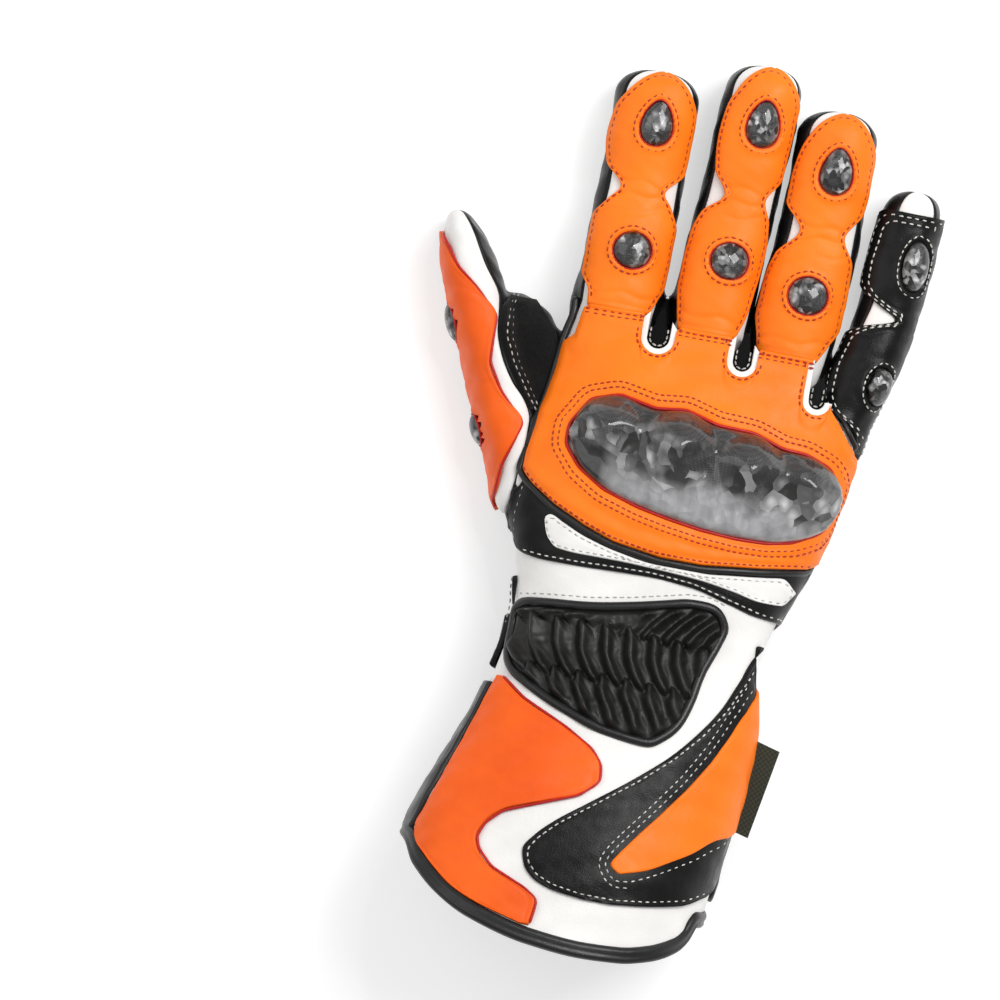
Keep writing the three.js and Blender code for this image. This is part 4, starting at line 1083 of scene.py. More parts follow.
def sector(tube, y, from_turn, to_turn, steps, dip=SEAM_DIP):
    """A strip of a tube's leather between two turns."""
    turn = from_turn[:, None] + (to_turn - from_turn)[:, None] * spread(float(steps), 1.0)
    base, normal = settle(on_tube(tube, np.broadcast_to(y[:, None], turn.shape), turn))
    return leather_solid(base, normal, (True, True), dip)


def finger_seams(tube, y):
    """Turns of the four seams of a finger: back to strip and strip to palm, on both sides."""
    rows, _, tip = TUBES[tube]
    held = np.minimum(y, rows[-1, 0] - tip)
    back = column(BACK_SEAM, held)
    out = np.clip((y - 52) / 10, 0, 1)
    right = seam_turn(tube, held, back + 2.5 * out, 1), seam_turn(tube, held, PALM_SEAM, 1)
    left = seam_turn(tube, held, back + 4.8 * out, -1), seam_turn(tube, held, PALM_SEAM, -1)
    return right, left


def web_face(left_x, right_x):
    """The slope between two fingers, from the back of the hand to the palm."""
    x = np.linspace(left_x, right_x, 24)
    z = 33 - 28 * np.linspace(0, 1, 34)[:, None] + 0 * x
    base, normal = settle(np.stack([np.broadcast_to(x, z.shape), web_end(x, z), z], -1))
    return grown(base, normal, -0.5, -WALL)


def hand_seam(y, place, side):
    """Turn of a seam along the hand's side: the one at the back or the one at the palm."""
    return seam_turn("body", y, PALM_SEAM if place == "palm" else column(BACK_SEAM, y), side)


def hand_sector(first_seam, last_seam, steps, palm=False):
    """Leather of the hand between two seams, from the wrist to where the fingers part. The palm runs
    round below, past a half turn."""
    along = spread(84.0, 1.4)[:, None]
    end = 60.0
    for _ in range(2):
        y = WRIST_SEAM_Y + (end - WRIST_SEAM_Y) * along
        first, last = hand_seam(y, *first_seam), hand_seam(y, *last_seam) + 360 * palm
        turn = first + (last - first) * spread(float(steps), 1.0)
        points = on_tube("body", np.broadcast_to(y, turn.shape), turn)
        end = through(FINGER_WEBS, points[-1, :, 0])[:, 0 if palm else 1]
    return leather_solid(*settle(points), open_ends=(False, False))


def hand_shell():
    """Leather of the hand and fingers: for each node the strips that are sewn into it."""
    shell = {name: [] for name in SHELL_NODES}
    for finger in FINGERS:
        y = along_tube(finger, FINGER_STARTS[finger])
        right, left = finger_seams(finger, y)
        left_strip, right_strip = STRIPS[finger]
        shell["back_leather"].append(sector(finger, y, left[0], right[0], 26))
        shell[right_strip].append(sector(finger, y, right[0], right[1], 10))
        shell["palm_leather"].append(sector(finger, y, right[1], left[1] + 360, 26))
        shell[left_strip].append(sector(finger, y, left[1], left[0], 10))
    for name, edges in WEB_FACES.items():
        shell[name].append(web_face(*edges))
    shell["back_leather"].append(hand_sector(("back", -1), ("back", 1), 80))
    shell["palm_leather"].append(hand_sector(("palm", 1), ("palm", -1), 80, palm=True))
    shell["pinky_side_strip"].append(hand_sector(("back", 1), ("palm", 1), 22))
    shell["index_side_strip"].append(hand_sector(("palm", -1), ("back", -1), 22))
    add_piece("back_of_hand", shell["back_leather"], WHITE, ["back_leather"])
    add_piece("palm_of_hand", shell["palm_leather"], BLACK, ["palm_leather"])
    for name in SHELL_NODES[2:]:
        add_piece(name + "_leather", shell[name], BLACK, [name])


def thumb_shell():
    """Leather of the thumb: its white back, and its black front with the web towards the hand."""
    y = along_tube("thumb", -12)
    held = np.minimum(y, 74)
    edge = turn_at("thumb", held, column(THUMB_BACK_EDGE, held))
    low = seam_turn("thumb", held, 8, -1)
    web_y = along_tube("web", 4)
    half_turn = np.full(len(web_y), 180.0)
    add_piece("thumb_back_leather", [sector("thumb", y, low, edge, 40)],
              WHITE, ["thumb_back"])
    add_piece("thumb_palm_leather", [
        sector("thumb", y, edge, low + 360, 38), sector("web", web_y, -half_turn, half_turn, 44, dip=0),
    ], BLACK, ["thumb_palm"])


# Shell of the cuff

def hem_line(turn, which):
    """y of the hem's inner or outer edge at a turn of the body: from the back's columns of the table
    above the middle, and from the palm's below it."""
    y = np.full(np.shape(turn), -132.0)
    for _ in range(3):
        hem = through(HEM, on_tube("body", y, turn)[..., 0])
        back, palm = hem[..., which], hem[..., which + 2]
        y = palm + (back - palm) * eased(np.clip(0.5 + np.cos(np.radians(turn)) * 4, 0, 1))
    return y


def cuff_part(first, last):
    """Leather of the cuff between two turns, from the wrist seam to the hem's binding."""
    turn = first + (last - first) * spread(110.0, 1.0)
    y = WRIST_SEAM_Y + (hem_line(turn, 0)[None] - WRIST_SEAM_Y) * spread(100.0, 1.3)[:, None]
    return leather_solid(*settle(on_tube("body", y, np.broadcast_to(turn, y.shape))), open_ends=(False, True))


def cuff_lining():
    """Thin cloth inside the leather, from the hem in to the hand."""
    turn = np.linspace(0, 360, 110, endpoint=False)
    y = 30 + (hem_line(turn, 0)[None] - 2 - 30) * np.linspace(0, 1, 56)[:, None]
    base, normal = settle(on_tube("body", y, np.broadcast_to(turn, y.shape)))
    face = -WALL - 0.5 + 0.8 * uneven(base * 1.4)
    return grown(base, normal, -WALL - 0.1, face - 0.4, around=True)


def hem_roll():
    """Bound edge of the mouth: a rounded band carried round it, with a groove along it."""
    turn = np.linspace(0, 360, 300, endpoint=False)
    y = (hem_line(turn, 0) + hem_line(turn, 1)) / 2
    base, normal = settle(on_tube("body", y, turn))
    ahead = np.roll(base, -1, axis=0) - np.roll(base, 1, axis=0)
    ahead = ahead / np.linalg.norm(ahead, axis=1, keepdims=True)
    side = np.cross(ahead, normal)
    round_ = np.linspace(0, 2 * np.pi, 28, endpoint=False)
    across = 2.75 * np.sign(np.cos(round_)) * np.abs(np.cos(round_)) ** 0.8
    up = -0.55 + 2.25 * np.sign(np.sin(round_)) * np.abs(np.sin(round_)) ** 0.7
    up = up - 0.6 * np.exp(-((across - 0.4) / 0.5) ** 2) * (np.sin(round_) > 0)
    ring = base[:, None] + across[None, :, None] * side[:, None] + up[None, :, None] * normal[:, None]
    faces = grid_faces(len(base) + 1, len(round_), around=True) % (len(base) * len(round_))
    return ring.reshape(-1, 3), faces


def cuff_shell():
    """Both halves of the cuff, its lining and its bound edge."""
    add_piece("cuff_back_leather", [cuff_part(-CUFF_SEAM, CUFF_SEAM)], WHITE, ["cuff_back"])
    add_piece("cuff_palm_leather", [cuff_part(CUFF_SEAM, 360 - CUFF_SEAM)],
              BLACK, ["cuff_palm"])
    add_piece("cuff_lining", [cuff_lining()], LINING)
    add_piece("hem_binding_roll", [hem_roll()], BINDING, ["hem_binding"])


# Finger panels and domes

def dome_frame(dome):
    """Middle of a dome on the leather's face, and the directions across and along it."""
    tube, dome_x, dome_y = dome[:3]
    middle, out = placed(tube, (np.array([[dome_x]]), np.array([[dome_y]])))
    middle, out = middle[0, 0], out[0, 0]
    across = np.cross([0.0, 1.0, 0.0], out)
    across = across / np.linalg.norm(across)
    return middle, across, np.cross(out, across)


def dome_line(dome, out=0.0, count=60):
    """Outline of a dome in its own plane, moved out by a distance: an ellipse that may narrow towards
    the fingertip. Offsets across and along."""
    _, _, _, half_x, half_y, _, narrow = dome
    turn = np.linspace(0, 2 * np.pi, count, endpoint=False)
    across = (half_x + out) * np.sin(turn) * (1 - narrow * 0.5 * np.cos(turn))
    return np.stack([across, (half_y + out) * np.cos(turn)], -1)


def round_dome(dome, offsets):
    """Offsets in a dome's plane laid on the leather's face, with normals."""
    middle, across, along = dome_frame(dome)
    return settle(middle + offsets[..., :1] * across + offsets[..., 1:] * along)


def dome_dents(finger):
    """Extra height on a finger's panel: a raised ring round each dome and a seat below it, and shallow
    folds across the finger where it bends."""
    own = [(dome, dome_frame(dome)) for dome in DOMES.values() if dome[0] == finger]

    def heights(x, y, edge, base):
        total = np.zeros(np.shape(x))
        for dome, (middle, across, along) in own:
            half_x, half_y, narrow = dome[3], dome[4], dome[6]
            offset = base - middle
            up = offset @ along / half_y
            width = half_x * (1 - narrow * np.clip(up, -1, 1.2) * 0.5)
            reach = np.hypot(offset @ across / width, up)
            outside = (reach - 1) * min(half_x, half_y)
            total = total + 0.55 * np.exp(-((outside - 0.9) / 0.8) ** 2)
            total = total - 1.4 * np.clip(0.5 - outside / 0.5, 0, 1)
        for fold_y, slant, depth in FOLDS[finger]:
            away = y - fold_y - slant * (x - x.mean()) - 0.8 * np.sin(x * 0.45 + fold_y)
            total = total - depth * np.exp(-(away / 0.9) ** 2) * np.clip(edge / 2, 0, 1)
        return total
    return heights


def finger_panels():
    """Orange panels of three fingers and the little finger's black one, with their stitches."""
    for finger, table in (("index", INDEX_PANEL), ("middle", MIDDLE_PANEL), ("ring", RING_PANEL)):
        grid = rows_grid(finger, table, ends=(0, 12), spacing=0.6)
        add_piece(finger + "_armour_panel", [panel(finger, grid, height=1.9, extra=dome_dents(finger))],
                  ORANGE, [finger + "_panel"])
        rim = rim_of(rows_grid(finger, table, ends=(0, 12), inset=1.3))
        stitches("red", finger, looped(rim), height=1.75, keep=lambda x, y: y > table[0][0] + 2)
    grid = rows_grid("pinky", PINKY_PANEL, low=10, ends=(4, 3), spacing=0.6)
    add_piece("pinky_armour_panel", [panel("pinky", grid, height=1.7, extra=dome_dents("pinky"))],
              BLACK, ["pinky_panel"])
    for inset, height in ((1.5, 1.65), (3.4, 1.9)):
        rim = rim_of(rows_grid("pinky", PINKY_PANEL, low=10, ends=(4, 3), inset=inset))
        stitches("white", "pinky", rim, height=height, keep=lambda x, y: (x < 74) | (y > 106))


def dome_solid(dome):
    """A dome on its seat: rings from the outline in to the middle, rising as a flattened sphere."""
    high = dome[5]
    reach = 1 - np.sin(np.radians(np.linspace(0, 90, 20)))
    base, normal = round_dome(dome, dome_line(dome, count=72)[None] * reach[:, None, None])
    rise = np.sqrt(np.maximum(0, 1 - reach ** 2))[:, None]
    return grown(base, normal, 1.3 + (high - 0.5) * rise, 0.3, around=True)


def domes():
    """The ten domes with a ring of stitches round each, but not on the thumb. Returns the red rings at
    their feet, which the little finger's domes don't have."""
    rings = []
    for name, dome in DOMES.items():
        add_piece(name + "_lens", [dome_solid(dome)], DOME_GLAZE, [name], sharp=80)
        if dome[0] != "thumb":
            kind, height = ("white", 2.15) if dome[0] == "pinky" else ("red", 2.2)
            line = dome_line(dome, 1.7)
            line = dense(line, int(line_length(line) / 2.1), closed=True)
            sewn(kind, *round_dome(dome, line), height)
        if dome[0] != "pinky":
            base, normal = round_dome(dome, dome_line(dome, out=0.25))
            rings.append(tube_along(base, normal, 0.3, 0.45, True, lift=1.75, sides=8))
    return rings


# Hand panel, finger gaps and knuckle guard

def slot_line(slot, left_top, right_top):
    """Edge of a gap between two fingers: down one side, round the bottom and up the other."""
    x, bottom, half = slot
    turn = np.radians(np.linspace(180, 360, 15))
    curve = np.stack([x + half * np.cos(turn), bottom + half + half * np.sin(turn)], -1)
    return np.vstack([[(x - half, left_top)], curve, [(x + half, right_top)]])


def hand_outline():
    """Outline of the hand panel: up the little finger's side, round the finger gaps, and back down the
    thumb's side."""
    wrap_y = np.array(HAND_WRAP_Y, float)
    gaps = [slot_line(slot, *tops)[::-1] for slot, tops in zip(SLOTS, HAND_SLOT_TOPS)]
    return np.vstack([
        HAND_LOW_RIGHT, np.stack([side_x("body", wrap_y, 20, 1), wrap_y], -1), HAND_CORNER,
        *gaps[::-1], HAND_LEFT])


def window_outline():
    """Outline of the window in the hand panel, which is that of the knuckle guard."""
    table = np.array(GUARD, float)
    return np.vstack([table[:, [0, 1]], table[::-1][:, [0, 2]]])


def window_loop():
    """The window's outline as an even, softened line."""
    return dense(window_outline(), 420, closed=True, soften=2.5)


def matched(outline, window, count):
    """Points round an outline and round a window in it, paired: the anchors say which points belong
    together, and between them both lines are divided evenly."""
    outer = dense(outline, 2400, closed=True, soften=0.9)
    inner = dense(window, 1600, closed=True, soften=2.5)
    pairs = [(np.argmin(((outer - far) ** 2).sum(1)), np.argmin(((inner - near) ** 2).sum(1)))
             for far, near in ANCHORS]
    share = np.array([pair[0] for pair in pairs]) / len(outer)
    far_line, near_line = [], []
    for k, (far_from, near_from) in enumerate(pairs):
        after = (k + 1) % len(pairs)
        far_to, near_to = pairs[after]
        steps = int(round(count * ((share[after] - share[k]) % 1)))
        part = np.arange(steps) / steps
        far_run = np.round(part * ((far_to - far_from) % len(outer))).astype(int)
        near_run = np.round(part * ((near_to - near_from) % len(inner))).astype(int)
        far_line.append(outer[(far_from + far_run) % len(outer)])
        near_line.append(inner[(near_from + near_run) % len(inner)])
    return np.concatenate(far_line), np.concatenate(near_line)


def hand_panel():
    """The orange panel on the back of the hand, from its window out, and its stitches."""
    far_line, near_line = matched(hand_outline(), window_outline(), 620)
    add_piece("hand_armour_panel", [panel(
        "body", ring_grid(near_line, far_line, 0.8), height=1.8, way="over", around=True,
        extra=lambda x, y, edge, base: 0.5 * np.exp(-((edge - 3.5) / 2.2) ** 2))],
        ORANGE, ["hand_panel"])
    for distance in (2.6, 4.3):
        loop = beside(window_loop(), -distance, closed=True)
        stitches("red", "body", looped(loop), height=2.15, way="over", pitch=CLOSE_PITCH)
    stitches("red", "body", dense(HAND_LOW_SEAM, 200, soften=4), height=1.95, way="over", pitch=CLOSE_PITCH)


def gap_rim(slot, tops):
    """White edge of the leather round a finger gap."""
    x, bottom, half = slot
    past = 0 if slot == SLOTS[-1] else 3
    outer = dense(slot_line((x, bottom - 0.7, half + 0.7), *tops), 90)
    inner = dense(slot_line((x, bottom + RIM, half - RIM), tops[0] + 3, tops[1] + past), 90)
    share = spread(RIM + 0.7, 0.4)[:, None, None]
    ring = outer[None] + (inner - outer)[None] * share
    return panel("body", (ring[..., 0], ring[..., 1]), height=1.1, under=0.1, roll=0.6, way="over",
                 groove=0)


def gap_gusset(slot):
    """Black leather in a finger gap: a round trough that sinks between the fingers, and gets deeper and
    narrower towards their tips."""
    x, bottom, half = slot
    past, lean = (0, 0.8) if slot == SLOTS[-1] else (3, 0)
    wide = half - RIM + 0.5
    trough = [(bottom + up, x - reach + shift, x + reach + shift) for up, reach, shift in (
        (RIM - 0.5, wide, 0), (7, wide, 0), (10, 1.9, lean), (12 + past, 0.7, lean))]

    def sunk(at_x, at_y, edge, base):
        across = np.clip((at_x - x) / wide, -1, 1)
        dive = np.maximum(0, at_y - bottom - 5)
        return -2.8 * (1 - across ** 4) * np.clip(edge / 2, 0, 1) - 0.12 * dive ** 2 - 0.6 * dive

    return panel("body", rows_grid("body", trough, ends=(wide, 0), spacing=0.5), height=0.9, under=-0.4,
                 roll=0.5, way="over", groove=0, extra=sunk)


def finger_gaps():
    """Rims, gussets and stitches of the gaps, and the seams across the finger roots."""
    for (x, bottom, half), tops in zip(SLOTS, SLOT_TOPS):
        stitches("red", "body", slot_line((x, bottom - 1.3, half + 1.3), *tops), height=2.0, way="over",
                 pitch=CLOSE_PITCH, keep=lambda at_x, at_y: at_x < 54)
        line = slot_line((x, bottom + RIM + 0.9, half - RIM - 0.9), bottom + 8, bottom + 8)
        stitches("faint", "body", line, height=0.55, way="over", pitch=1.7)
    rims = [gap_rim(slot, tops) for slot, tops in zip(SLOTS, SLOT_TOPS)]
    add_piece("finger_gap_rims", rims, WHITE)
    gussets = [gap_gusset(slot) for slot in SLOTS]
    add_piece("finger_gap_gussets", gussets, GUSSET_BLACK_AND_SHADE)
    seams = []
    for left_x, right_x, y in ROOT_SEAMS:
        line = [(left_x - 1, y), (right_x + 1, y)]
        seams.append(cording("body", line, radius=0.9, height=0.75, way="over"))
        for drop in (1.0, 2.4):
            stitches("red", "body", [(left_x, y - drop), (right_x, y - drop)], height=2.0, way="over",
                     pitch=CLOSE_PITCH)
    add_piece("finger_root_seams", seams, ORANGE)
    stitches("orange", "body", HAND_SIDE_SEAM, height=1.6, way="over")


def bump_heights(x, y):
    """Height of the four knuckle bumps: each a low round cap that is longer towards the fingers, cut
    by three flat facets on the side of the wrist; neighbours are softly joined."""
    total = np.zeros(np.shape(x))
    for bump_x, bump_y, half_x, half_y, high in BUMPS:
        lean = np.where(y > bump_y, half_y * 0.95, half_y * 0.8)
        reach = ((x - bump_x) / (half_x * 1.25)) ** 2 + ((y - bump_y) / (lean * 1.08)) ** 2
        cap = high * np.maximum(0, 1 - reach) ** 1.15
        for turn in FACET_TURNS:
            along = (x - bump_x) * np.cos(turn) + (y - bump_y - 2) * np.sin(turn)
            cap = soft_min(cap, high * (1.0 - along / (0.72 * half_y)), 0.5)
        total = -soft_min(-total, -np.maximum(0, cap), 2.2)
    return total


def knuckle_guard():
    """The guard: a plate with a rolled edge that rises into the four bumps."""
    grid = columns_grid("body", GUARD, ends=(7, 5), spacing=0.55, inset=0.5)
    base, normal = placed("body", grid, way="over")
    edge = edge_distance(base)
    top = 1.2 + 2.1 * rolled(edge, 2.4) + bump_heights(*grid) * rolled(edge, 7)
    add_piece("knuckle_guard_shell", [grown(base, normal, top, 0.3)], GUARD_GLAZE,
              ["knuckle_guard"], sharp=80)


# Thumb, wrist and cuff panels

def thumb_panels():
    """The thumb's orange panel, and the suede patch between thumb and hand."""
    grid = rows_grid("thumb", THUMB_PANEL, low=9, ends=(2, 6), spacing=0.7)
    add_piece("thumb_armour_panel", [panel("thumb", grid, height=1.6, extra=dome_dents("thumb"))],
              DEEP_DYE_AND_SHADE_ORANGE, ["thumb_panel"])
    add_piece("crotch_suede_patch", [panel("web", rows_grid("web", CROTCH_PATCH), height=1.5, way="down")],
              SUEDE, ["crotch_patch"])
    for inset in (1.6, 3.2):
        stitches("faint", "web", edge_line(CROTCH_PATCH, 1, inset), height=1.4, way="down")


def wrist_band():
    """The black band over the wrist with its white inset."""
    add_piece("wrist_band_leather", [panel("body", columns_grid("body", WRIST_BAND, low=22), height=1.5)],
              BLACK, ["wrist_band"])
    grid = columns_grid("body", WRIST_BAND_INSET, ends=(2, 5), spacing=0.7)
    add_piece("wrist_band_white_inset", [panel("body", grid, height=2.3, under=1.2, roll=0.7, groove=1.1)],
              WHITE, ["wrist_band_inset"])
    band = np.array(WRIST_BAND[3:-1], float)
    stitches("white", "body", np.stack([band[:, 0], band[:, 1] + 1.5], -1), height=1.45)
    stitches("white", "body", WRIST_SIDE_SEAM, height=1.4)
    rim = rim_of(columns_grid("body", WRIST_BAND_INSET, ends=(2, 5), inset=1.0))
    stitches("faint", "body", looped(rim), height=2.2)


def fold_shape(x, lean, first, pitch=RIB_PITCH):
    """Height of a row of folds, a ridge that is steeper on one side, and the place across it."""
    turn = 2 * np.pi * (x - lean - first) / pitch
    wave = 0.5 + 0.5 * np.cos(turn + 0.55 * np.sin(turn + 0.6))
    return wave ** 0.85, np.cos(turn)


def rib_heights(x, y, edge, base):
    """Folds of a padded, gathered panel in three rows. In each row the crests are about 8 mm apart and
    curve as the tables say. A row's ends run into the creases of the next, in a zigzag seam. The top
    row fades into plain leather towards the thumb."""
    middle, middle_wave = fold_shape(x, column(MIDDLE_LEAN, y), -2.2)
    low, _ = fold_shape(x, column(LOW_LEAN, y), -1.8)
    top, _ = fold_shape(x, column(TOP_LEAN, y), 10, 6.8)
    low_seam = y - (-59.3 - 1.7 * middle_wave)
    top_seam = y - (-42.6 + 1.5 * middle_wave - 0.09 * np.maximum(0, x - 8))
    plain = np.clip((9 - x) / 3, 0, 1) * np.clip((y + 40.5 + 0.08 * (x + 20)) / 2, 0, 1)
    height = np.where(low_seam < 0, low, np.where(top_seam < 0, middle, top * (1 - plain) + 0.45 * plain))
    seam = np.minimum(np.abs(low_seam), np.abs(top_seam) + 2 * plain)
    height = height * (1 - 0.6 * np.exp(-(seam / 1.0) ** 2))
    fine = 0.16 * np.sin(x * 1.7 + 2 * np.sin(y * 0.7)) * np.sin(y * 0.9 + x * 0.6)
    return eased(np.clip((edge - 0.2) / 2.2, 0, 1)) * (3.4 * height + fine)


def ribbed_panel():
    """The padded panel with its piping, and the root of the strap beside it."""
    grid = columns_grid("body", RIBBED_PANEL, ends=(3, 5), spacing=0.4, inset=2.4)
    ribbed = add_piece("ribbed_padded_panel", [panel("body", grid, height=0.7, groove=0, extra=rib_heights)],
                       PADDED_BLACK, ["ribbed_panel"], sharp=80)
    rim = rim_of(columns_grid("body", RIBBED_PANEL, ends=(3, 5), inset=1.5))
    loop = dense(rim, 420, closed=True, soften=2)
    add_piece("ribbed_panel_piping", [cording("body", loop, radius=1.6, height=0.55, closed=True, flat=0.95)],
              BINDING, sharp=80)
    upper = np.array(RIBBED_PANEL[1:-1], float)
    stitches("faint", "body", np.stack([upper[:, 0], upper[:, 2] + 1.6], -1), height=0.1)
    grid = rows_grid("body", STRAP_ROOT, low=30, ends=(2, 2))
    add_piece("strap_root_tab", [panel("body", grid, height=2.0)], BLACK)
    stitches("faint", "body", STRAP_ROOT_SEAM, height=1.9)


def cuff_panels():
    """Panels on the back of the cuff, and their stitches."""
    add_piece("cuff_side_armour", [panel("body", rows_grid("body", CUFF_SIDE_PANEL), height=1.4)],
              DEEP_DYE_AND_SHADE_ORANGE, ["cuff_side_panel"])
    add_piece("cuff_side_edge", [panel("body", rows_grid("body", CUFF_SIDE_BINDING, low=26), height=1.7)],
              BINDING, ["cuff_side_binding"])
    grid = rows_grid("body", CUFF_SWOOSH, low=34.5, ends=(2, 1))
    add_piece("cuff_swoosh_leather", [panel("body", grid, height=1.4)],
              BLACK, ["cuff_swoosh"])
    grid = rows_grid("body", CUFF_BLADE, low=34.5, ends=(2, 1))
    add_piece("cuff_blade_leather", [panel("body", grid, height=2.2, under=1.1, roll=0.7, groove=0)],
              ORANGE, ["cuff_blade"])
    line = dense(np.vstack([edge_line(CUFF_SWOOSH, 1)[::-1], SWOOSH_END]), 300, soften=2)
    stitches("white", "body", beside(line, 1.6), height=1.35, keep=lambda x, y: y < -47)
    low_line = dense(BLADE_LOW_EDGE, 120, soften=2)
    stitches("white", "body", beside(low_line, -1.7), height=1.35)
    line = dense(np.vstack([edge_line(CUFF_BLADE, 1)[::-1], BLADE_END]), 260, soften=1.5)
    for distance in (1.9, 3.9):
        stitches("white", "body", beside(line, -distance), height=1.35, keep=lambda x, y: y < -54)


def piping(red_rings):
    """Red edges of the orange panels and the domes, and the black piping of the hand."""
    side_line = dense(edge_line(CUFF_SIDE_PANEL, 2), 300, soften=2)
    thumb_line = dense(edge_line(THUMB_PANEL, 2), 160, soften=2)
    red_lines = [
        cording("body", beside(side_line, -0.3), radius=0.45, height=0.9),
        cording("body", window_loop(), radius=0.55, height=1.7, closed=True, way="over"),
        cording("thumb", thumb_line, radius=0.45, height=1.0),
    ]
    add_piece("red_piping", red_lines + red_rings, RED_EDGE, sharp=80)
    low_line = beside(dense(HAND_LOW_BINDING, 200, soften=3), -0.6)
    add_piece("black_piping", [
        cording("body", HAND_PIPING, radius=1.35, height=0.9, soften=4),
        cording("body", LITTLE_CORD, radius=0.9, height=1.2, way="down"),
        cording("body", low_line, radius=1.15, height=0.9, flat=0.8),
    ], BINDING)


# Palm side and tag

def palm_panels():
    """Closure flap, strap, loop patch and padded heel on the palm side, and their stitches."""
    grid = rows_grid("body", CLOSURE_FLAP, low=34, palm=True, ends=(4, 3), spacing=1.0)
    add_piece("closure_flap_leather", [panel("body", grid, height=1.6, palm=True)],
              BLACK, ["closure_flap"])
    grid = columns_grid("body", WRIST_STRAP, low=30, palm=True, ends=(0, 8), spacing=1.0)
    add_piece("wrist_strap_leather", [panel("body", grid, height=2.6, under=1.0, palm=True)],
              BLACK, ["wrist_strap"])
    grid = columns_grid("body", LOOP_PATCH, palm=True, ends=(1, 1), spacing=1.0)
    add_piece("loop_cloth_patch", [panel("body", grid, height=1.2, palm=True, groove=0)],
              LOOP, ["loop_patch"])
    heel = add_piece("heel_padded_patch", [panel(
        "body", fan_grid(HEEL_PAD, (30, -15)), height=1.5, palm=True, around=True, open_ends=(False, True))],
        BLACK, ["heel_pad"])
    for inset in (1.4, 3.0):
        rim = rim_of(rows_grid("body", CLOSURE_FLAP, low=34, palm=True, ends=(4, 3), inset=inset))
        stitches("white", "body", rim, height=1.5, palm=True, keep=lambda x, y: x < 44)
    rim = rim_of(columns_grid("body", WRIST_STRAP, low=30, palm=True, ends=(0, 8), inset=1.8))
    stitches("white", "body", rim, height=2.5, palm=True, keep=lambda x, y: x > -38)
    for line in HEEL_SEAMS:
        stitches("white", "body", line, height=1.4, palm=True)


def palm_patch():
    """The suede patch under the palm: rings of quads down to the rest surface, closed above and below
    by a single level face, and its double stitches."""
    outline = dense(PALM_PATCH, 320, closed=True, soften=2)
    grid = np.array([
        np.column_stack([beside(outline, inset, closed=True), np.full(len(outline), z)])
        for inset, z in PATCH_RINGS])
    rings, count = grid.shape[:2]
    faces = [list(face) for face in grid_faces(rings, count, around=True)]
    faces.append(list(range(count))[::-1])
    faces.append(list(range((rings - 1) * count, rings * count)))
    mesh = bpy.data.meshes.new("palm_suede_patch")
    mesh.from_pydata(((grid.reshape(-1, 3) + SHIFT) * MM).tolist(), [], faces)
    mesh.flip_normals()
    as_piece(mesh, SUEDE, ["palm_patch"])
    for out in (1.0, 2.6):
        line = beside(outline, -out, closed=True)
        stitches("white", "body", looped(line), height=0.3, palm=True, keep=lambda x, y: y < 60)
    for shift in (0, 1.8):
        stitches("white", "body", [(9.7 + shift, 25.4), (14.8 + shift, 5.8)], height=0.3, palm=True)


def side_tag():
    """A folded woven tag: two layers that part a little towards the fold, hanging with a slight bend."""
    across = np.linspace(0, 1, 16)[None]
    along = np.linspace(0, 1, 36)[:, None]
    corner = [np.array(place, float) for place in SIDE_LABEL]
    top = corner[0][None, None] + (corner[1] - corner[0]) * across[..., None]
    low = corner[3][None, None] + (corner[2] - corner[3]) * across[..., None]
    plan = top + (low - top) * along[..., None]
    z = 36 - 2.2 * across ** 2 + 0.5 * np.sin(along * 5) * across
    half = 0.75 * np.sqrt(1 - across ** 2) + 0.25
    outer, inner = (np.concatenate([plan, face[..., None]], -1) for face in (z + half, z - half))
    add_piece("side_tag_cloth", [between_grids(outer, inner)], TAG, ["side_label"])


def thread_pieces():
    """The stitches that were kept, one piece for each kind of thread."""
    for kind, name, colour, slot in THREADS:
        add_piece(kind + "_stitches", [stitch_solids(kind)], thread_material(name, colour), sharp=80)


# Studio

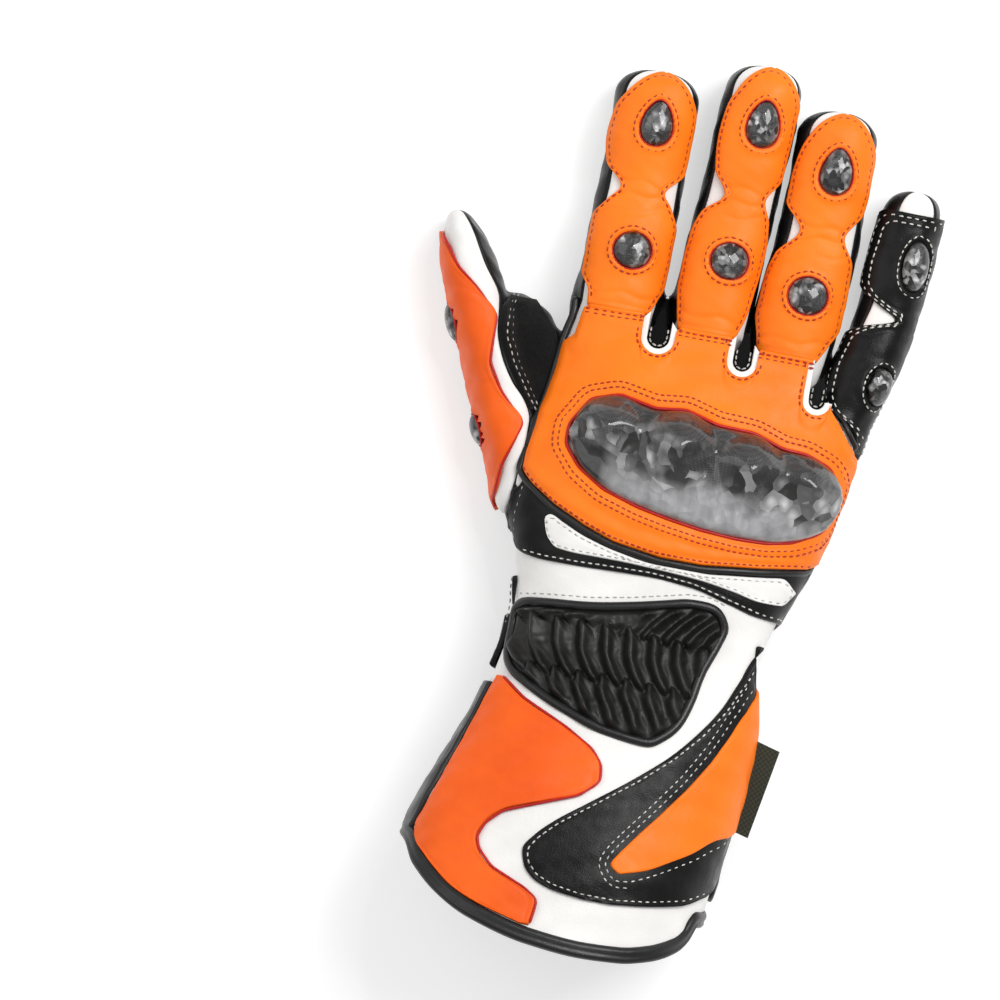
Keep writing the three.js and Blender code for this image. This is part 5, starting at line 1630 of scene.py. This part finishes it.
def area_light(name, place, size, power):
    """A square soft light that points at the glove's middle."""
    light = bpy.data.lights.new(name, "AREA")
    light.shape = "RECTANGLE"
    light.size = light.size_y = size
    light.energy = power
    lamp = bpy.data.objects.new(name, light)
    lamp.location = place
    lamp.rotation_euler = (-Vector(place)).to_track_quat("-Z", "Y").to_euler()
    bpy.context.scene.collection.objects.link(lamp)


def studio():
    """Pale floor that glows a little, so that it stays nearly white, a large soft light from the upper
    right, a weaker one from the left, a small one for glints, and a camera straight above with a
    long lens."""
    mesh = bpy.data.meshes.new("floor")
    corners = [(x, y, FLOOR_Z) for x, y in ((-3, -3), (3, -3), (3, 3), (-3, 3))]
    mesh.from_pydata(corners, [], [(0, 1, 2, 3)])
    floor = bpy.data.objects.new("floor", mesh)
    bpy.context.scene.collection.objects.link(floor)
    material, _, shader = new_material("floor_finish")
    shader.inputs["Base Color"].default_value = (0.6, 0.6, 0.6, 1)
    shader.inputs["Roughness"].default_value = 0.9
    shader.inputs["Emission Color"].default_value = (1, 1, 1, 1)
    shader.inputs["Emission Strength"].default_value = 0.52
    mesh.materials.append(material)
    world = bpy.data.worlds.new("studio")
    world.use_nodes = True
    background = world.node_tree.nodes["Background"]
    background.inputs["Color"].default_value = (1, 1, 1, 1)
    background.inputs["Strength"].default_value = 0.5
    bpy.context.scene.world = world
    for light in LIGHTS:
        area_light(*light)
    bpy.context.scene.view_settings.view_transform = "Standard"
    camera_data = bpy.data.cameras.new("camera")
    camera = bpy.data.objects.new("camera", camera_data)
    bpy.context.scene.collection.objects.link(camera)
    camera_data.sensor_width = SENSOR
    camera_data.lens = SENSOR * CAMERA_PLACE[2] / PICTURE_WIDTH
    camera.location = CAMERA_PLACE
    camera.rotation_euler = (0, 0, CAMERA_TURN)
    bpy.context.scene.camera = camera


hand_shell()
thumb_shell()
cuff_shell()
finger_panels()
hand_panel()
finger_gaps()
knuckle_guard()
red_rings = domes()
thumb_panels()
wrist_band()
ribbed_panel()
cuff_panels()
piping(red_rings)
palm_panels()
palm_patch()
side_tag()
thread_pieces()
studio()
